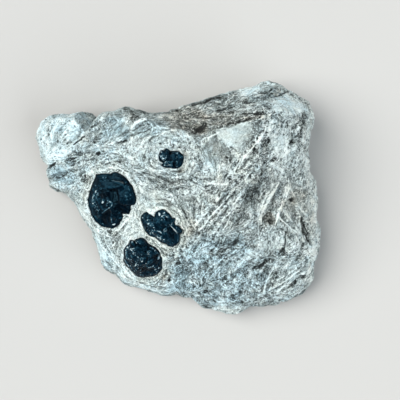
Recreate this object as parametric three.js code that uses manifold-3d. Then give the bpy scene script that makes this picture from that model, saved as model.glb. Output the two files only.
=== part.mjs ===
// A loose lump of grey perlite with four apache tears (obsidian nodules) set in blind sockets.
// Millimetres, +Z up. The lump rests on the flat broken face of its underside, z = 0, and the
// origin is at the bottom centre of its bounding box. +X is its long way, +Y its short way.
//
// Plan positions are written on a chart of 400 by 400 steps, u to the right (+X) and v towards
// the viewer (-Y), seen from EYE_HEIGHT above the base. at(u, v, z) turns a chart point that lies
// at height z into millimetres.
import * as THREE from "three";
import { mergeVertices } from "three/addons/utils/BufferGeometryUtils.js";
import Module from "manifold-3d";

// Driving dimensions
const STEP_MM = 0.35; // one chart step at STEP_HEIGHT
const STEP_HEIGHT = 15;
const EYE_HEIGHT = 445;
const CENTRE_X = 7.14; // where chart point 200, 200 lies
const CENTRE_Y = -0.436;
const SOCKET_GAP = 0.3; // clearance between a tear and its socket
const RIDGE_SOFTNESS = 0.7; // rounding of the ridges between the fracture planes
const MATRIX_DETAIL = 14; // subdivisions of the matrix
const TEAR_DETAIL = 5; // subdivisions of a tear

const wasm = await Module();
wasm.setup();

const at = (u, v, z) => {
  const k = (STEP_MM * (EYE_HEIGHT - z)) / (EYE_HEIGHT - STEP_HEIGHT);
  return [CENTRE_X + (u - 200) * k, CENTRE_Y - (v - 200) * k];
};

// Widest outline of the lump on the chart, clockwise from the tip of the left nub.
const OUTLINE = [
  [36, 138], [38, 132], [40, 127], [42, 122], [46, 119], [50, 117], [55, 115], [66, 115],
  [76, 113], [84, 112], [93, 113], [102, 114], [108, 113],
  [113, 112], [120, 110], [124, 107], [129, 108], [136, 110], [140, 110], [147, 113], [156, 114],
  [167, 113], [172, 110], [179, 109], [184, 105], [192, 104], [201, 102], [208, 100], [214, 98],
  [221, 96], [227, 95], [234, 92], [243, 89], [255, 86], [263, 82], [271, 83], [281, 86],
  [287, 91], [295, 94], [303, 99], [308, 103], [312, 113], [313, 120], [312, 126], [309, 131],
  [308, 139], [306, 148], [307, 155], [309, 158], [307, 164], [308, 171], [310, 175], [314, 182],
  [315, 189], [317, 198], [317, 205], [315, 211], [316, 218], [319, 225], [321, 230], [320, 239],
  [319, 247], [316, 256], [314, 263], [313, 268], [313, 275], [311, 281], [305, 290], [299, 295],
  [294, 298], [284, 300], [280, 300], [275, 303], [262, 305], [252, 306], [245, 309], [240, 312],
  [233, 313], [223, 312], [207, 309], [202, 307], [196, 301], [191, 297], [183, 296], [177, 292],
  [166, 294], [158, 293], [150, 291], [137, 287], [124, 283], [120, 278], [117, 273], [106, 269],
  [103, 263], [101, 253], [98, 243], [93, 232], [87, 221], [81, 211], [76, 202], [70, 195],
  [65, 191.5], [59, 188.6], [53, 187], [50, 183.5], [48, 178], [47, 172], [48, 168], [50, 166], [47, 163],
  [42, 156], [40, 147],
];

// Stations round the outline: [u, v, height of the widest line, width of the side slope, its roundness].
// Roundness 1 is a flat slope and 2 a quarter round. The far side is one broad, steep, flat face.
const SIDE = [
  [36, 138, 11, 5.0, 1.8],
  [60, 115, 12, 4.5, 1.6],
  [84, 112, 12, 4.0, 1.4],
  [100, 114, 13, 4.0, 1.4],
  [108, 113, 14, 4.0, 1.4],
  [124, 107, 15, 5.0, 1.25],
  [145, 112, 15, 5.5, 1.15],
  [165, 113, 14, 7.0, 1.12],
  [178, 109, 14, 9.5, 1.08],
  [192, 104, 14, 11.9, 1.05],
  [214, 98, 14, 14.5, 1.05],
  [240, 90, 14, 17.0, 1.05],
  [263, 82, 15, 17.8, 1.06],
  [281, 86, 16, 14.5, 1.1],
  [303, 99, 17, 9.5, 1.2],
  [312, 118, 16, 6.0, 1.4],
  [307, 150, 14, 4.5, 1.6],
  [312, 180, 12, 5.0, 1.5],
  [317, 205, 11, 5.0, 1.6],
  [320, 235, 10, 5.5, 1.7],
  [314, 265, 9, 5.0, 1.7],
  [299, 295, 8, 5.0, 1.7],
  [262, 305, 8, 4.5, 1.7],
  [230, 312, 8, 5.0, 1.7],
  [196, 301, 8, 4.0, 1.5],
  [158, 293, 7, 3.2, 1.3],
  [117, 275, 7, 3.0, 1.25],
  [98, 243, 7, 3.0, 1.2],
  [76, 202, 7, 3.0, 1.2],
  [50, 185, 8, 3.5, 1.4],
  [47, 170, 9, 3.5, 1.5],
];

// Fracture planes of the upper side: each passes through three chart points with a height.
const PLANES = [
  [[120, 268, 20], [92, 195, 24.5], [196, 205, 35]], // tear-bearing face, falls to the lower left
  [[60, 135, 22.5], [108, 135, 28.5], [62, 172, 20.5]], // left nub
  [[105, 125, 28], [160, 128, 34.5], [130, 165, 31.5]], // smooth plates above the large tear
  [[165, 140, 35], [255, 128, 42.5], [215, 185, 40]], // central top
  [[262, 135, 42.5], [306, 140, 27], [305, 205, 23]], // right face
  [[245, 180, 41], [308, 245, 21], [215, 262, 28]], // lower right face
  [[215, 262, 28.5], [290, 282, 19], [225, 300, 17]], // lower face
  [[150, 282, 16], [196, 288, 16], [180, 240, 28.5]], // lower edge right of the tears
];

// Valleys, notches and pits: [u1, v1, u2, v2, depth, half width]; a minus depth is a raised rib.
const GROOVES = [
  [45, 167, 56, 163, 2.6, 1.3], // notch in the left edge
  [274, 192, 270, 212, 2.0, 2.6], // trough on the right
  [270, 219, 270, 222, 3.0, 2.4], // round pit at its foot
  [303, 219, 308, 240, 1.8, 1.6], // groove by the right edge
  [262, 118, 250, 145, -0.9, 1.6], // ridge beside the smooth dome
  [250, 146, 190, 232, -0.8, 3.0], // rough crest
  [277, 184, 263, 214, -0.9, 1.2], // ribs on both sides of the trough
  [285, 189, 277, 220, -0.8, 1.2],
  [262, 143, 266, 140, 1.6, 1.6], // dark pit right of the ridge
  [196, 128, 206, 123, 1.5, 1.8], // pit on the brown face
  [240, 200, 256, 190, 1.2, 3.2], // dark hollow in the middle of the crest
  [312, 255, 313, 259, -1.0, 2.2], // chunk on the right edge
];

// Flat breaks on the sides: [azimuth, elevation, clearance] of each cutting plane. Clearance is measured
// outwards from the widest outline, so a break never reaches it.
const CORE = [3, 4, 15];
const BREAKS = [
  [205, -35, 0.2],
  [232, -48, 0.0],
  [258, -38, 0.3],
  [290, -45, 0.0],
  [335, -33, 0.2],
  [5, -48, 0.0],
  [35, -40, 0.2],
  [70, -35, 0.3],
  [108, -42, 0.0],
  [150, -35, 0.1],
  [178, -52, 0.0],
  [222, 12, 0.9],
  [262, 16, 1.6],
  [300, 22, 2.0],
  [330, 14, 1.4],
  [356, 20, 1.8],
];

// V-shaped notch between the nub and the plates: its valley line runs from one chart point with a height
// to the other, it opens towards OPEN, and its walls stand HALF_ANGLE from the middle.
const NOTCH_OUT = [99, 121, 4];
const NOTCH_IN = [86.5, 133, 23.5];
const NOTCH_OPEN = [-0.1, 1, 0.9];
const NOTCH_HALF_ANGLE = 40;

const polar = (x, y) => [Math.hypot(x - CORE[0], y - CORE[1]), Math.atan2(y - CORE[1], x - CORE[0])];

// Value of a ring of stations at an angle, by straight interpolation between the two next to it.
function ringValue(ring, angle, column) {
  const n = ring.length;
  for (let i = 0; i < n; i++) {
    const a = ring[i],
      b = ring[(i + 1) % n];
    let span = b.angle - a.angle,
      off = angle - a.angle;
    while (span <= 0) span += 2 * Math.PI;
    while (off < 0) off += 2 * Math.PI;
    while (off >= 2 * Math.PI) off -= 2 * Math.PI;
    if (off < span) return a[column] + ((b[column] - a[column]) * off) / span;
  }
  return ring[0][column];
}

const sideRing = SIDE.map(([u, v, z, width, round]) => {
  const [x, y] = at(u, v, z);
  return { angle: polar(x, y)[1], z, width, round };
}).sort((a, b) => a.angle - b.angle);

const outline = OUTLINE.map(([u, v]) => {
  const [x0, y0] = at(u, v, 11);
  const z = ringValue(sideRing, polar(x0, y0)[1], "z");
  return [...at(u, v, z), z];
});

// Distance from the core to the outline along an angle.
function reach(angle) {
  const dx = Math.cos(angle),
    dy = Math.sin(angle);
  let far = 0;
  for (let i = 0; i < outline.length; i++) {
    const [ax, ay] = outline[i],
      [bx, by] = outline[(i + 1) % outline.length];
    const ex = bx - ax,
      ey = by - ay,
      px = ax - CORE[0],
      py = ay - CORE[1];
    const det = dx * ey - dy * ex;
    if (Math.abs(det) < 1e-9) continue;
    const t = (px * ey - py * ex) / det,
      w = (px * dy - py * dx) / det;
    if (t > 0 && w >= -1e-9 && w <= 1 + 1e-9) far = Math.max(far, t);
  }
  return far;
}

const planes = PLANES.map((three) => {
  const [a, b, c] = three.map(([u, v, z]) => new THREE.Vector3(...at(u, v, z), z));
  const n = b.sub(a).cross(c.sub(a));
  return [-n.x / n.z, -n.y / n.z, a.z + (n.x * a.x + n.y * a.y) / n.z];
});

const grooves = GROOVES.map(([u1, v1, u2, v2, depth, width]) => {
  const z = 30;
  return [...at(u1, v1, z), ...at(u2, v2, z), depth, width];
});

// Height of the upper side before the side slope is taken off.
function plateau(x, y) {
  let sum = 0;
  for (const [a, b, c] of planes) sum += Math.exp(-(a * x + b * y + c) / RIDGE_SOFTNESS);
  let z = -RIDGE_SOFTNESS * Math.log(sum);
  for (const [ax, ay, bx, by, depth, width] of grooves) {
    const ex = bx - ax,
      ey = by - ay;
    const t = Math.min(1, Math.max(0, ((x - ax) * ex + (y - ay) * ey) / (ex * ex + ey * ey)));
    const d2 = (x - ax - t * ex) ** 2 + (y - ay - t * ey) ** 2;
    z -= depth * Math.exp(-d2 / (width * width));
  }
  z += 0.4 * Math.sin(0.23 * x + 0.9) * Math.sin(0.29 * y - 0.4) + 0.15 * Math.sin(0.61 * x + 0.32 * y + 1.7);
  return z;
}

const rise = (t, p) => (t >= 1 ? 1 : Math.pow(1 - Math.pow(1 - Math.max(t, 0), p), 1 / p));

// Height of the upper side at a share s of the reach along an angle.
function topHeight(angle, s, far) {
  const z0 = ringValue(sideRing, angle, "z"),
    width = ringValue(sideRing, angle, "width"),
    round = ringValue(sideRing, angle, "round");
  const x = CORE[0] + Math.cos(angle) * s * far,
    y = CORE[1] + Math.sin(angle) * s * far;
  return z0 + (Math.max(plateau(x, y), z0 + 1) - z0) * rise(((1 - s) * far) / width, round);
}

const UNDERCUT = 10; // how far in from the widest line the flat underside starts
const UNDER_ROUND = 1.5;
function underHeight(angle, s, far) {
  const z0 = ringValue(sideRing, angle, "z");
  return z0 * (1 - rise(((1 - s) * far) / UNDERCUT, UNDER_ROUND));
}

function solid(geometry) {
  geometry.deleteAttribute("normal");
  geometry.deleteAttribute("uv");
  const merged = mergeVertices(geometry, 1e-4);
  return new wasm.Manifold(
    new wasm.Mesh({
      numProp: 3,
      vertProperties: new Float32Array(merged.attributes.position.array),
      triVerts: new Uint32Array(merged.index.array),
    }),
  );
}

function geometryOf(made) {
  const m = made.getMesh();
  const g = new THREE.BufferGeometry();
  const p = new Float32Array(m.numVert * 3);
  for (let i = 0; i < m.numVert; i++) p.set(m.vertProperties.subarray(i * m.numProp, i * m.numProp + 3), i * 3);
  g.setAttribute("position", new THREE.BufferAttribute(p, 3));
  g.setIndex(new THREE.BufferAttribute(new Uint32Array(m.triVerts), 1));
  return g;
}

const breaks = BREAKS.map(([az, el, clearance]) => {
  const a = (az * Math.PI) / 180,
    e = (el * Math.PI) / 180;
  const n = [Math.cos(e) * Math.cos(a), Math.cos(e) * Math.sin(a), Math.sin(e)];
  const reached = outline.map(([x, y, z]) => n[0] * (x - CORE[0]) + n[1] * (y - CORE[1]) + n[2] * (z - CORE[2]));
  return [...n, Math.max(...reached) + clearance];
});

function makeMatrix() {
  const g = new THREE.IcosahedronGeometry(1, MATRIX_DETAIL);
  const p = g.attributes.position;
  for (let i = 0; i < p.count; i++) {
    const x = p.getX(i),
      y = p.getY(i),
      z = p.getZ(i);
    const angle = Math.atan2(y, x);
    const q = Math.acos(Math.min(1, Math.max(-1, z))) / Math.PI; // 0 on top, 1 below
    const far = reach(angle);
    const EQUATOR = 0.56;
    let s, h;
    if (q <= EQUATOR) {
      s = 1 - Math.pow(1 - q / EQUATOR, 1.45);
      h = topHeight(angle, s, far);
    } else {
      s = 1 - Math.pow(1 - (1 - q) / (1 - EQUATOR), 1.7);
      h = underHeight(angle, s, far);
    }
    let v = [CORE[0] + Math.cos(angle) * s * far, CORE[1] + Math.sin(angle) * s * far, h];
    for (const [nx, ny, nz, d] of breaks) {
      const r = [v[0] - CORE[0], v[1] - CORE[1], v[2] - CORE[2]];
      const along = nx * r[0] + ny * r[1] + nz * r[2];
      if (along > d) v = [CORE[0] + (r[0] * d) / along, CORE[1] + (r[1] * d) / along, CORE[2] + (r[2] * d) / along];
    }
    p.setXYZ(i, v[0], v[1], h === 0 ? 0 : Math.max(v[2], 0));
  }
  return g;
}

function makeNotch() {
  const out = new THREE.Vector3(...at(...NOTCH_OUT), NOTCH_OUT[2]);
  const inner = new THREE.Vector3(...at(...NOTCH_IN), NOTCH_IN[2]);
  const line = inner.clone().sub(out).normalize();
  const middle = new THREE.Vector3(...NOTCH_OPEN);
  middle.addScaledVector(line, -middle.dot(line)).normalize();
  const across = line.clone().cross(middle);
  const a = (NOTCH_HALF_ANGLE * Math.PI) / 180;
  const e1 = middle.clone().multiplyScalar(Math.cos(a)).addScaledVector(across, Math.sin(a));
  const e2 = middle.clone().multiplyScalar(Math.cos(a)).addScaledVector(across, -Math.sin(a));
  const g = new THREE.BoxGeometry(25, 25, 60);
  g.translate(12.5, 12.5, 0);
  g.applyMatrix4(new THREE.Matrix4().makeBasis(e2, e1, line).setPosition(out));
  return g;
}

// Tears: outline on the chart, height of the face there, dome above it and depth below it.
const TEARS = {
  apache_tear_large: {
    outline: [
      [96, 174], [104, 173.5], [111, 174], [115, 172], [121, 174], [126, 178], [130.5, 185], [134, 192],
      [136, 199], [135.6, 205], [131.5, 206], [131.5, 210], [129.5, 215], [124.5, 214.5], [123, 217],
      [120, 222], [116, 227], [112, 229], [104.5, 229], [100, 226], [95, 221], [91, 215], [89, 208],
      [88, 200], [89, 193], [92, 185.5], [94, 180],
    ],
    dome: 2.6,
    depth: 8.5,
  },
  apache_tear_middle: {
    outline: [
      [141, 217], [145, 213], [149, 211.5], [154, 211.5], [159, 210.5], [164, 210], [168, 214], [171, 217],
      [174, 218.5], [175.5, 224], [178, 227], [180.5, 230], [180, 234], [179, 238], [179, 242], [175, 245],
      [171, 247], [168, 245], [161, 242], [156, 237], [149, 234], [145, 229], [142, 223],
    ],
    dome: 1.9,
    depth: 6,
  },
  apache_tear_lower: {
    outline: [
      [130, 241], [134.5, 240.5], [139, 238.5], [143, 238], [146, 241], [149, 245], [154, 247], [157, 250],
      [160, 255], [161.5, 260], [162, 268], [159, 272], [154, 276], [143, 278], [139, 277], [134.5, 274.5],
      [129, 269], [124, 261], [123.6, 255], [124, 249.5], [127, 245],
    ],
    dome: 3.0,
    depth: 7,
  },
  apache_tear_small: {
    outline: [
      [159.5, 158], [159.5, 154], [161, 151], [164, 149.5], [167, 149], [170.6, 150.5], [174, 150.5],
      [178, 151], [182, 153.5], [184, 158], [183, 163], [180, 167], [174, 168], [167.5, 168], [162.5, 166],
      [160.5, 162],
    ],
    dome: 1.6,
    depth: 4.5,
  },
};

function tearFrame(spec) {
  let u = 0,
    v = 0;
  for (const [a, b] of spec.outline) {
    u += a / spec.outline.length;
    v += b / spec.outline.length;
  }
  let z = 28;
  for (let i = 0; i < 6; i++) z = plateau(...at(u, v, z));
  const [x, y] = at(u, v, z);
  const r = 7;
  const gx = (plateau(x + r, y) - plateau(x - r, y)) / (2 * r),
    gy = (plateau(x, y + r) - plateau(x, y - r)) / (2 * r);
  const level = (px, py) => z + gx * (px - x) + gy * (py - y);
  const points = spec.outline.map(([a, b]) => {
    let p = at(a, b, z);
    for (let i = 0; i < 4; i++) p = at(a, b, level(...p));
    return p;
  });
  return { x, y, level, points };
}

// A tear, or with grow above 0 the cutter for its socket, which runs straight up from its widest line.
function makeTear(spec, grow, up) {
  const { x, y, level, points } = tearFrame(spec);
  const g = new THREE.IcosahedronGeometry(1, TEAR_DETAIL);
  const p = g.attributes.position;
  for (let i = 0; i < p.count; i++) {
    const angle = Math.atan2(p.getY(i), p.getX(i));
    const q = Math.acos(Math.min(1, Math.max(-1, p.getZ(i)))) / (Math.PI / 2);
    let far = 0;
    const dx = Math.cos(angle),
      dy = Math.sin(angle);
    for (let k = 0; k < points.length; k++) {
      const [ax, ay] = points[k],
        [bx, by] = points[(k + 1) % points.length];
      const ex = bx - ax,
        ey = by - ay;
      const det = dx * ey - dy * ex;
      if (Math.abs(det) < 1e-9) continue;
      const t = ((ax - x) * ey - (ay - y) * ex) / det,
        w = ((ax - x) * dy - (ay - y) * dx) / det;
      if (t > 0 && w >= -1e-9 && w <= 1 + 1e-9) far = Math.max(far, t);
    }
    const s = Math.sin((Math.PI / 2) * Math.min(q, 2 - q));
    const c = Math.sqrt(Math.max(0, 1 - s * s));
    const px = x + dx * s * (far + grow),
      py = y + dy * s * (far + grow);
    let h;
    if (q <= 1) h = up > 0 ? up * Math.pow(c, 0.2) : spec.dome * c;
    else h = -(spec.depth + grow) * c;
    p.setXYZ(i, px, py, level(px, py) + h);
  }
  return g;
}

const stone = (color, roughness, metalness) => new THREE.MeshStandardMaterial({ color, roughness, metalness });
const perlite = stone(0xb9bdb8, 0.92, 0);
const obsidian = stone(0x0b1216, 0.12, 0);

const group = new THREE.Group();

let matrix = solid(makeMatrix()).subtract(solid(makeNotch()));
for (const spec of Object.values(TEARS)) matrix = matrix.subtract(solid(makeTear(spec, SOCKET_GAP, 9)));
const matrixMesh = new THREE.Mesh(geometryOf(matrix), perlite);
matrixMesh.name = "perlite_matrix";
group.add(matrixMesh);

for (const [name, spec] of Object.entries(TEARS)) {
  const g = makeTear(spec, 0, 0);
  g.deleteAttribute("normal");
  g.deleteAttribute("uv");
  const mesh = new THREE.Mesh(mergeVertices(g, 1e-4), obsidian);
  mesh.name = name;
  group.add(mesh);
}

export default group;
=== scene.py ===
import bmesh
import bpy
import math
import numpy as np
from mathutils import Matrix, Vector


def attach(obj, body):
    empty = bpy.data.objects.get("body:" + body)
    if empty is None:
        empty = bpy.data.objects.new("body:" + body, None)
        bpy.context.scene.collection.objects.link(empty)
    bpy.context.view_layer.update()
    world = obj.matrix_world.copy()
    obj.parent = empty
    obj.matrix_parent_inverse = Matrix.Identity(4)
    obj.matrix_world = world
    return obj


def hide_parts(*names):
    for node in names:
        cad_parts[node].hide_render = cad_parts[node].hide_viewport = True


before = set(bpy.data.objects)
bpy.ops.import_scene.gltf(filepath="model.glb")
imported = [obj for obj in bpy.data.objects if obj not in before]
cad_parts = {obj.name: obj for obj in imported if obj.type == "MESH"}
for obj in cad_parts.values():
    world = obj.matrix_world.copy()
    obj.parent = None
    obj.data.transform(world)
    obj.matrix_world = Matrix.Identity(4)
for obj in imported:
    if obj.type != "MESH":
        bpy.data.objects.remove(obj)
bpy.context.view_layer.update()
scene = bpy.context.scene

# ---------------------------------------------------------------- chart
# Plan positions are chart points u, v (400 by 400 steps) seen from EYE_HEIGHT; lengths are in millimetres
# until a mesh is finished.
STEP_MM, STEP_HEIGHT, EYE_HEIGHT = 0.35, 15.0, 445.0
CX, CY = 7.14, -0.436
CORE = np.array([3.0, 4.0, 15.0])


def step(z):
    return STEP_MM * (EYE_HEIGHT - z) / (EYE_HEIGHT - STEP_HEIGHT)


def at(u, v, z):
    k = step(z)
    return CX + (u - 200) * k, CY - (v - 200) * k


def chart(x, y, z):
    k = step(z)
    return 200 + (x - CX) / k, 200 - (y - CY) / k


OUTLINE = [
    (36, 138), (38, 132), (40, 127), (42, 122), (46, 119), (50, 117), (55, 115), (66, 115),
    (76, 113), (84, 112), (93, 113), (102, 114), (108, 113),
    (113, 112), (120, 110), (124, 107), (129, 108), (136, 110), (140, 110), (147, 113), (156, 114),
    (167, 113), (172, 110), (179, 109), (184, 105), (192, 104), (201, 102), (208, 100), (214, 98),
    (221, 96), (227, 95), (234, 92), (243, 89), (255, 86), (263, 82), (271, 83), (281, 86),
    (287, 91), (295, 94), (303, 99), (308, 103), (312, 113), (313, 120), (312, 126), (309, 131),
    (308, 139), (306, 148), (307, 155), (309, 158), (307, 164), (308, 171), (310, 175), (314, 182),
    (315, 189), (317, 198), (317, 205), (315, 211), (316, 218), (319, 225), (321, 230), (320, 239),
    (319, 247), (316, 256), (314, 263), (313, 268), (313, 275), (311, 281), (305, 290), (299, 295),
    (294, 298), (284, 300), (280, 300), (275, 303), (262, 305), (252, 306), (245, 309), (240, 312),
    (233, 313), (223, 312), (207, 309), (202, 307), (196, 301), (191, 297), (183, 296), (177, 292),
    (166, 294), (158, 293), (150, 291), (137, 287), (124, 283), (120, 278), (117, 273), (106, 269),
    (103, 263), (101, 253), (98, 243), (93, 232), (87, 221), (81, 211), (76, 202), (70, 195),
    (65, 191.5), (59, 188.6), (53, 187), (50, 183.5), (48, 178), (47, 172), (48, 168), (50, 166), (47, 163),
    (42, 156), (40, 147),
]
SIDE = [
    (36, 138, 11, 5.0, 1.8), (60, 115, 12, 4.5, 1.6), (84, 112, 12, 4.0, 1.4), (100, 114, 13, 4.0, 1.4),
    (108, 113, 14, 4.0, 1.4), (124, 107, 15, 5.0, 1.25), (145, 112, 15, 5.5, 1.15), (165, 113, 14, 7.0, 1.12),
    (178, 109, 14, 9.5, 1.08), (192, 104, 14, 11.9, 1.05), (214, 98, 14, 14.5, 1.05), (240, 90, 14, 17.0, 1.05),
    (263, 82, 15, 17.8, 1.06), (281, 86, 16, 14.5, 1.1), (303, 99, 17, 9.5, 1.2), (312, 118, 16, 6.0, 1.4),
    (307, 150, 14, 4.5, 1.6), (312, 180, 12, 5.0, 1.5), (317, 205, 11, 5.0, 1.6), (320, 235, 10, 5.5, 1.7),
    (314, 265, 9, 5.0, 1.7), (299, 295, 8, 5.0, 1.7), (262, 305, 8, 4.5, 1.7), (230, 312, 8, 5.0, 1.7),
    (196, 301, 8, 4.0, 1.5), (158, 293, 7, 3.2, 1.3), (117, 275, 7, 3.0, 1.25), (98, 243, 7, 3.0, 1.2),
    (76, 202, 7, 3.0, 1.2), (50, 185, 8, 3.5, 1.4), (47, 170, 9, 3.5, 1.5),
]
PLANES = [
    ((120, 268, 20), (92, 195, 24.5), (196, 205, 35)),
    ((60, 135, 22.5), (108, 135, 28.5), (62, 172, 20.5)),
    ((105, 125, 28), (160, 128, 34.5), (130, 165, 31.5)),
    ((165, 140, 35), (255, 128, 42.5), (215, 185, 40)),
    ((262, 135, 42.5), (306, 140, 27), (305, 205, 23)),
    ((245, 180, 41), (308, 245, 21), (215, 262, 28)),
    ((215, 262, 28.5), (290, 282, 19), (225, 300, 17)),
    ((150, 282, 16), (196, 288, 16), (180, 240, 28.5)),
]
RIDGE_SOFTNESS = 0.7
BREAKS = [
    (205, -35, 0.2), (232, -48, 0.0), (258, -38, 0.3), (290, -45, 0.0), (335, -33, 0.2), (5, -48, 0.0),
    (35, -40, 0.2), (70, -35, 0.3), (108, -42, 0.0), (150, -35, 0.1), (178, -52, 0.0), (222, 12, 0.9),
    (262, 16, 1.6), (300, 22, 2.0), (330, 14, 1.4), (356, 20, 1.8),
]
NOTCH_OUT, NOTCH_IN, NOTCH_OPEN, NOTCH_HALF = (99, 121, 4), (86.5, 133, 23.5), (-0.1, 1, 0.9), 40

side_angle, side_cols = [], []
for u, v, z, w, r in SIDE:
    x, y = at(u, v, z)
    side_angle.append(math.atan2(y - CORE[1], x - CORE[0]))
    side_cols.append((z, w, r))
order = np.argsort(side_angle)
side_angle = np.array(side_angle)[order]
side_cols = np.array(side_cols)[order]
side_angle = np.concatenate([side_angle[-1:] - 2 * math.pi, side_angle, side_angle[:1] + 2 * math.pi])
side_cols = np.concatenate([side_cols[-1:], side_cols, side_cols[:1]])


def side(angle, column):
    return np.interp(angle, side_angle, side_cols[:, column])


outline = []
for u, v in OUTLINE:
    x, y = at(u, v, 11)
    z = float(side(math.atan2(y - CORE[1], x - CORE[0]), 0))
    outline.append((*at(u, v, z), z))
outline = np.array(outline)


def far_along(points, cx, cy, angle):
    """Distance from (cx, cy) to the closed outline of points along each angle."""
    a, b = points[:, :2], np.roll(points[:, :2], -1, axis=0)
    dx, dy = np.cos(angle)[:, None], np.sin(angle)[:, None]
    e = b - a
    px, py = a[:, 0] - cx, a[:, 1] - cy
    det = dx * e[:, 1] - dy * e[:, 0]
    det = np.where(np.abs(det) < 1e-9, 1e-9, det)
    t = (px * e[:, 1] - py * e[:, 0]) / det
    w = (px * dy - py * dx) / det
    ok = (t > 0) & (w >= -1e-9) & (w <= 1 + 1e-9)
    return np.where(ok, t, 0).max(axis=1)


plane_abc = []
for three in PLANES:
    p = [np.array([*at(u, v, z), z], float) for u, v, z in three]
    n = np.cross(p[1] - p[0], p[2] - p[0])
    plane_abc.append((-n[0] / n[2], -n[1] / n[2], p[0][2] + (n[0] * p[0][0] + n[1] * p[0][1]) / n[2]))


def plateau(x, y):
    total = 0
    for a, b, c in plane_abc:
        total = total + np.exp(-(a * x + b * y + c) / RIDGE_SOFTNESS)
    z = -RIDGE_SOFTNESS * np.log(total)
    z = z + 0.4 * np.sin(0.23 * x + 0.9) * np.sin(0.29 * y - 0.4) + 0.15 * np.sin(0.61 * x + 0.32 * y + 1.7)
    return z


def rise(t, p):
    t = np.clip(t, 0, 1)
    return (1 - (1 - t) ** p) ** (1 / p)


breaks = []
for az, el, clearance in BREAKS:
    a, e = math.radians(az), math.radians(el)
    n = np.array([math.cos(e) * math.cos(a), math.cos(e) * math.sin(a), math.sin(e)])
    breaks.append((n, ((outline - CORE) @ n).max() + clearance))

# ---------------------------------------------------------------- noise
rng = np.random.RandomState(7)
PERM = np.tile(rng.permutation(256), 3)
GRAD = rng.normal(size=(256, 3))
GRAD /= np.linalg.norm(GRAD, axis=1)[:, None]
JIT = rng.rand(256, 3)


def perlin(p, seed=0):
    """Gradient noise of points p, about -1 to 1."""
    i = np.floor(p).astype(np.int64)
    f = p - i
    w = f * f * f * (f * (f * 6 - 15) + 10)
    i = (i + seed * 17) & 255
    out = 0
    for dx in (0, 1):
        a = PERM[i[:, 0] + dx & 255]
        for dy in (0, 1):
            b = PERM[a + ((i[:, 1] + dy) & 255)]
            for dz in (0, 1):
                g = GRAD[PERM[b + ((i[:, 2] + dz) & 255)]]
                d = g[:, 0] * (f[:, 0] - dx) + g[:, 1] * (f[:, 1] - dy) + g[:, 2] * (f[:, 2] - dz)
                ww = (w[:, 0] if dx else 1 - w[:, 0]) * (w[:, 1] if dy else 1 - w[:, 1]) * (w[:, 2] if dz else 1 - w[:, 2])
                out = out + d * ww
    return out * 1.6


def fbm(p, size, octaves=4, gain=0.5, seed=0):
    """Noise with features of size mm and octaves of finer ones, about -1 to 1."""
    out, amp, total, q = 0, 1.0, 0, p / size
    for k in range(octaves):
        out = out + amp * perlin(q + 13.7 * k, seed + k)
        total += amp
        amp *= gain
        q = q * 2.03
    return out / total


def ridged(p, size, octaves=4, gain=0.55, seed=0):
    """Noise with sharp crests, 0 to 1."""
    out, amp, total, q = 0, 1.0, 0, p / size
    for k in range(octaves):
        out = out + amp * (1 - np.abs(perlin(q + 7.3 * k, seed + k))) ** 2
        total += amp
        amp *= gain
        q = q * 2.07
    return out / total


def cells(p, size, seed=0):
    """Distances to the nearest and second nearest scattered point, in cells, and a random number per cell."""
    q = p / size
    i = np.floor(q).astype(np.int64)
    best = np.full(len(p), 9.0)
    second = np.full(len(p), 9.0)
    ident = np.zeros(len(p), np.int64)
    for dx in (-1, 0, 1):
        for dy in (-1, 0, 1):
            for dz in (-1, 0, 1):
                c = i + (dx, dy, dz)
                h = PERM[PERM[PERM[(c[:, 0] + seed * 29) & 255] + (c[:, 1] & 255)] + (c[:, 2] & 255)]
                d = np.sqrt(((c + JIT[h] - q) ** 2).sum(axis=1))
                nearer = d < best
                second = np.where(nearer, best, np.minimum(second, d))
                ident = np.where(nearer, h, ident)
                best = np.where(nearer, d, best)
    return best, second, JIT[ident, 0]


def facets(p, size, seed, seed2=0):
    """Flat chips, each leaning its own way: height in units of size, distance to the next chip and a random number."""
    q = p / size
    i = np.floor(q).astype(np.int64)
    best = np.full(len(p), 9.0)
    second = np.full(len(p), 9.0)
    ident = np.zeros(len(p), np.int64)
    lean = np.zeros(len(p))
    for dx in (-1, 0, 1):
        for dy in (-1, 0, 1):
            for dz in (-1, 0, 1):
                c = i + (dx, dy, dz)
                h = PERM[PERM[PERM[(c[:, 0] + seed * 29) & 255] + (c[:, 1] & 255)] + (c[:, 2] & 255)]
                r = q - c - JIT[h]
                d = np.sqrt((r ** 2).sum(axis=1))
                nearer = d < best
                second = np.where(nearer, best, np.minimum(second, d))
                ident = np.where(nearer, h, ident)
                lean = np.where(nearer, (r * (2 * JIT[(h + 57) & 255] - 1)).sum(axis=1), lean)
                best = np.where(nearer, d, best)
    return lean, second - best, JIT[(ident + 91) & 255, 1]


def smooth(x, a, b):
    t = np.clip((x - a) / (b - a), 0, 1)
    return t * t * (3 - 2 * t)


def layers(x):
    """Rounded ridges at every whole number of x, 0 to 1."""
    return 1 - 2 * np.abs(x - np.round(x))


# ---------------------------------------------------------------- mesh helpers
def new_object(name, verts, faces):
    me = bpy.data.meshes.new(name)
    me.from_pydata(verts.tolist(), [], faces)
    me.update()
    ob = bpy.data.objects.new(name, me)
    scene.collection.objects.link(ob)
    return ob


def applied(ob):
    """The object's mesh with its modifiers applied, in place of the old one."""
    dg = bpy.context.evaluated_depsgraph_get()
    dg.update()
    me = bpy.data.meshes.new_from_object(ob.evaluated_get(dg))
    ob.modifiers.clear()
    old = ob.data
    ob.data = me
    bpy.data.meshes.remove(old)
    return me


def coords(me):
    co = np.empty(len(me.vertices) * 3, np.float32)
    me.vertices.foreach_get("co", co)
    return co.reshape(-1, 3).astype(float)


def normals(me):
    n = np.empty(len(me.vertices) * 3, np.float32)
    me.vertex_normals.foreach_get("vector", n)
    return n.reshape(-1, 3).astype(float)


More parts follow.
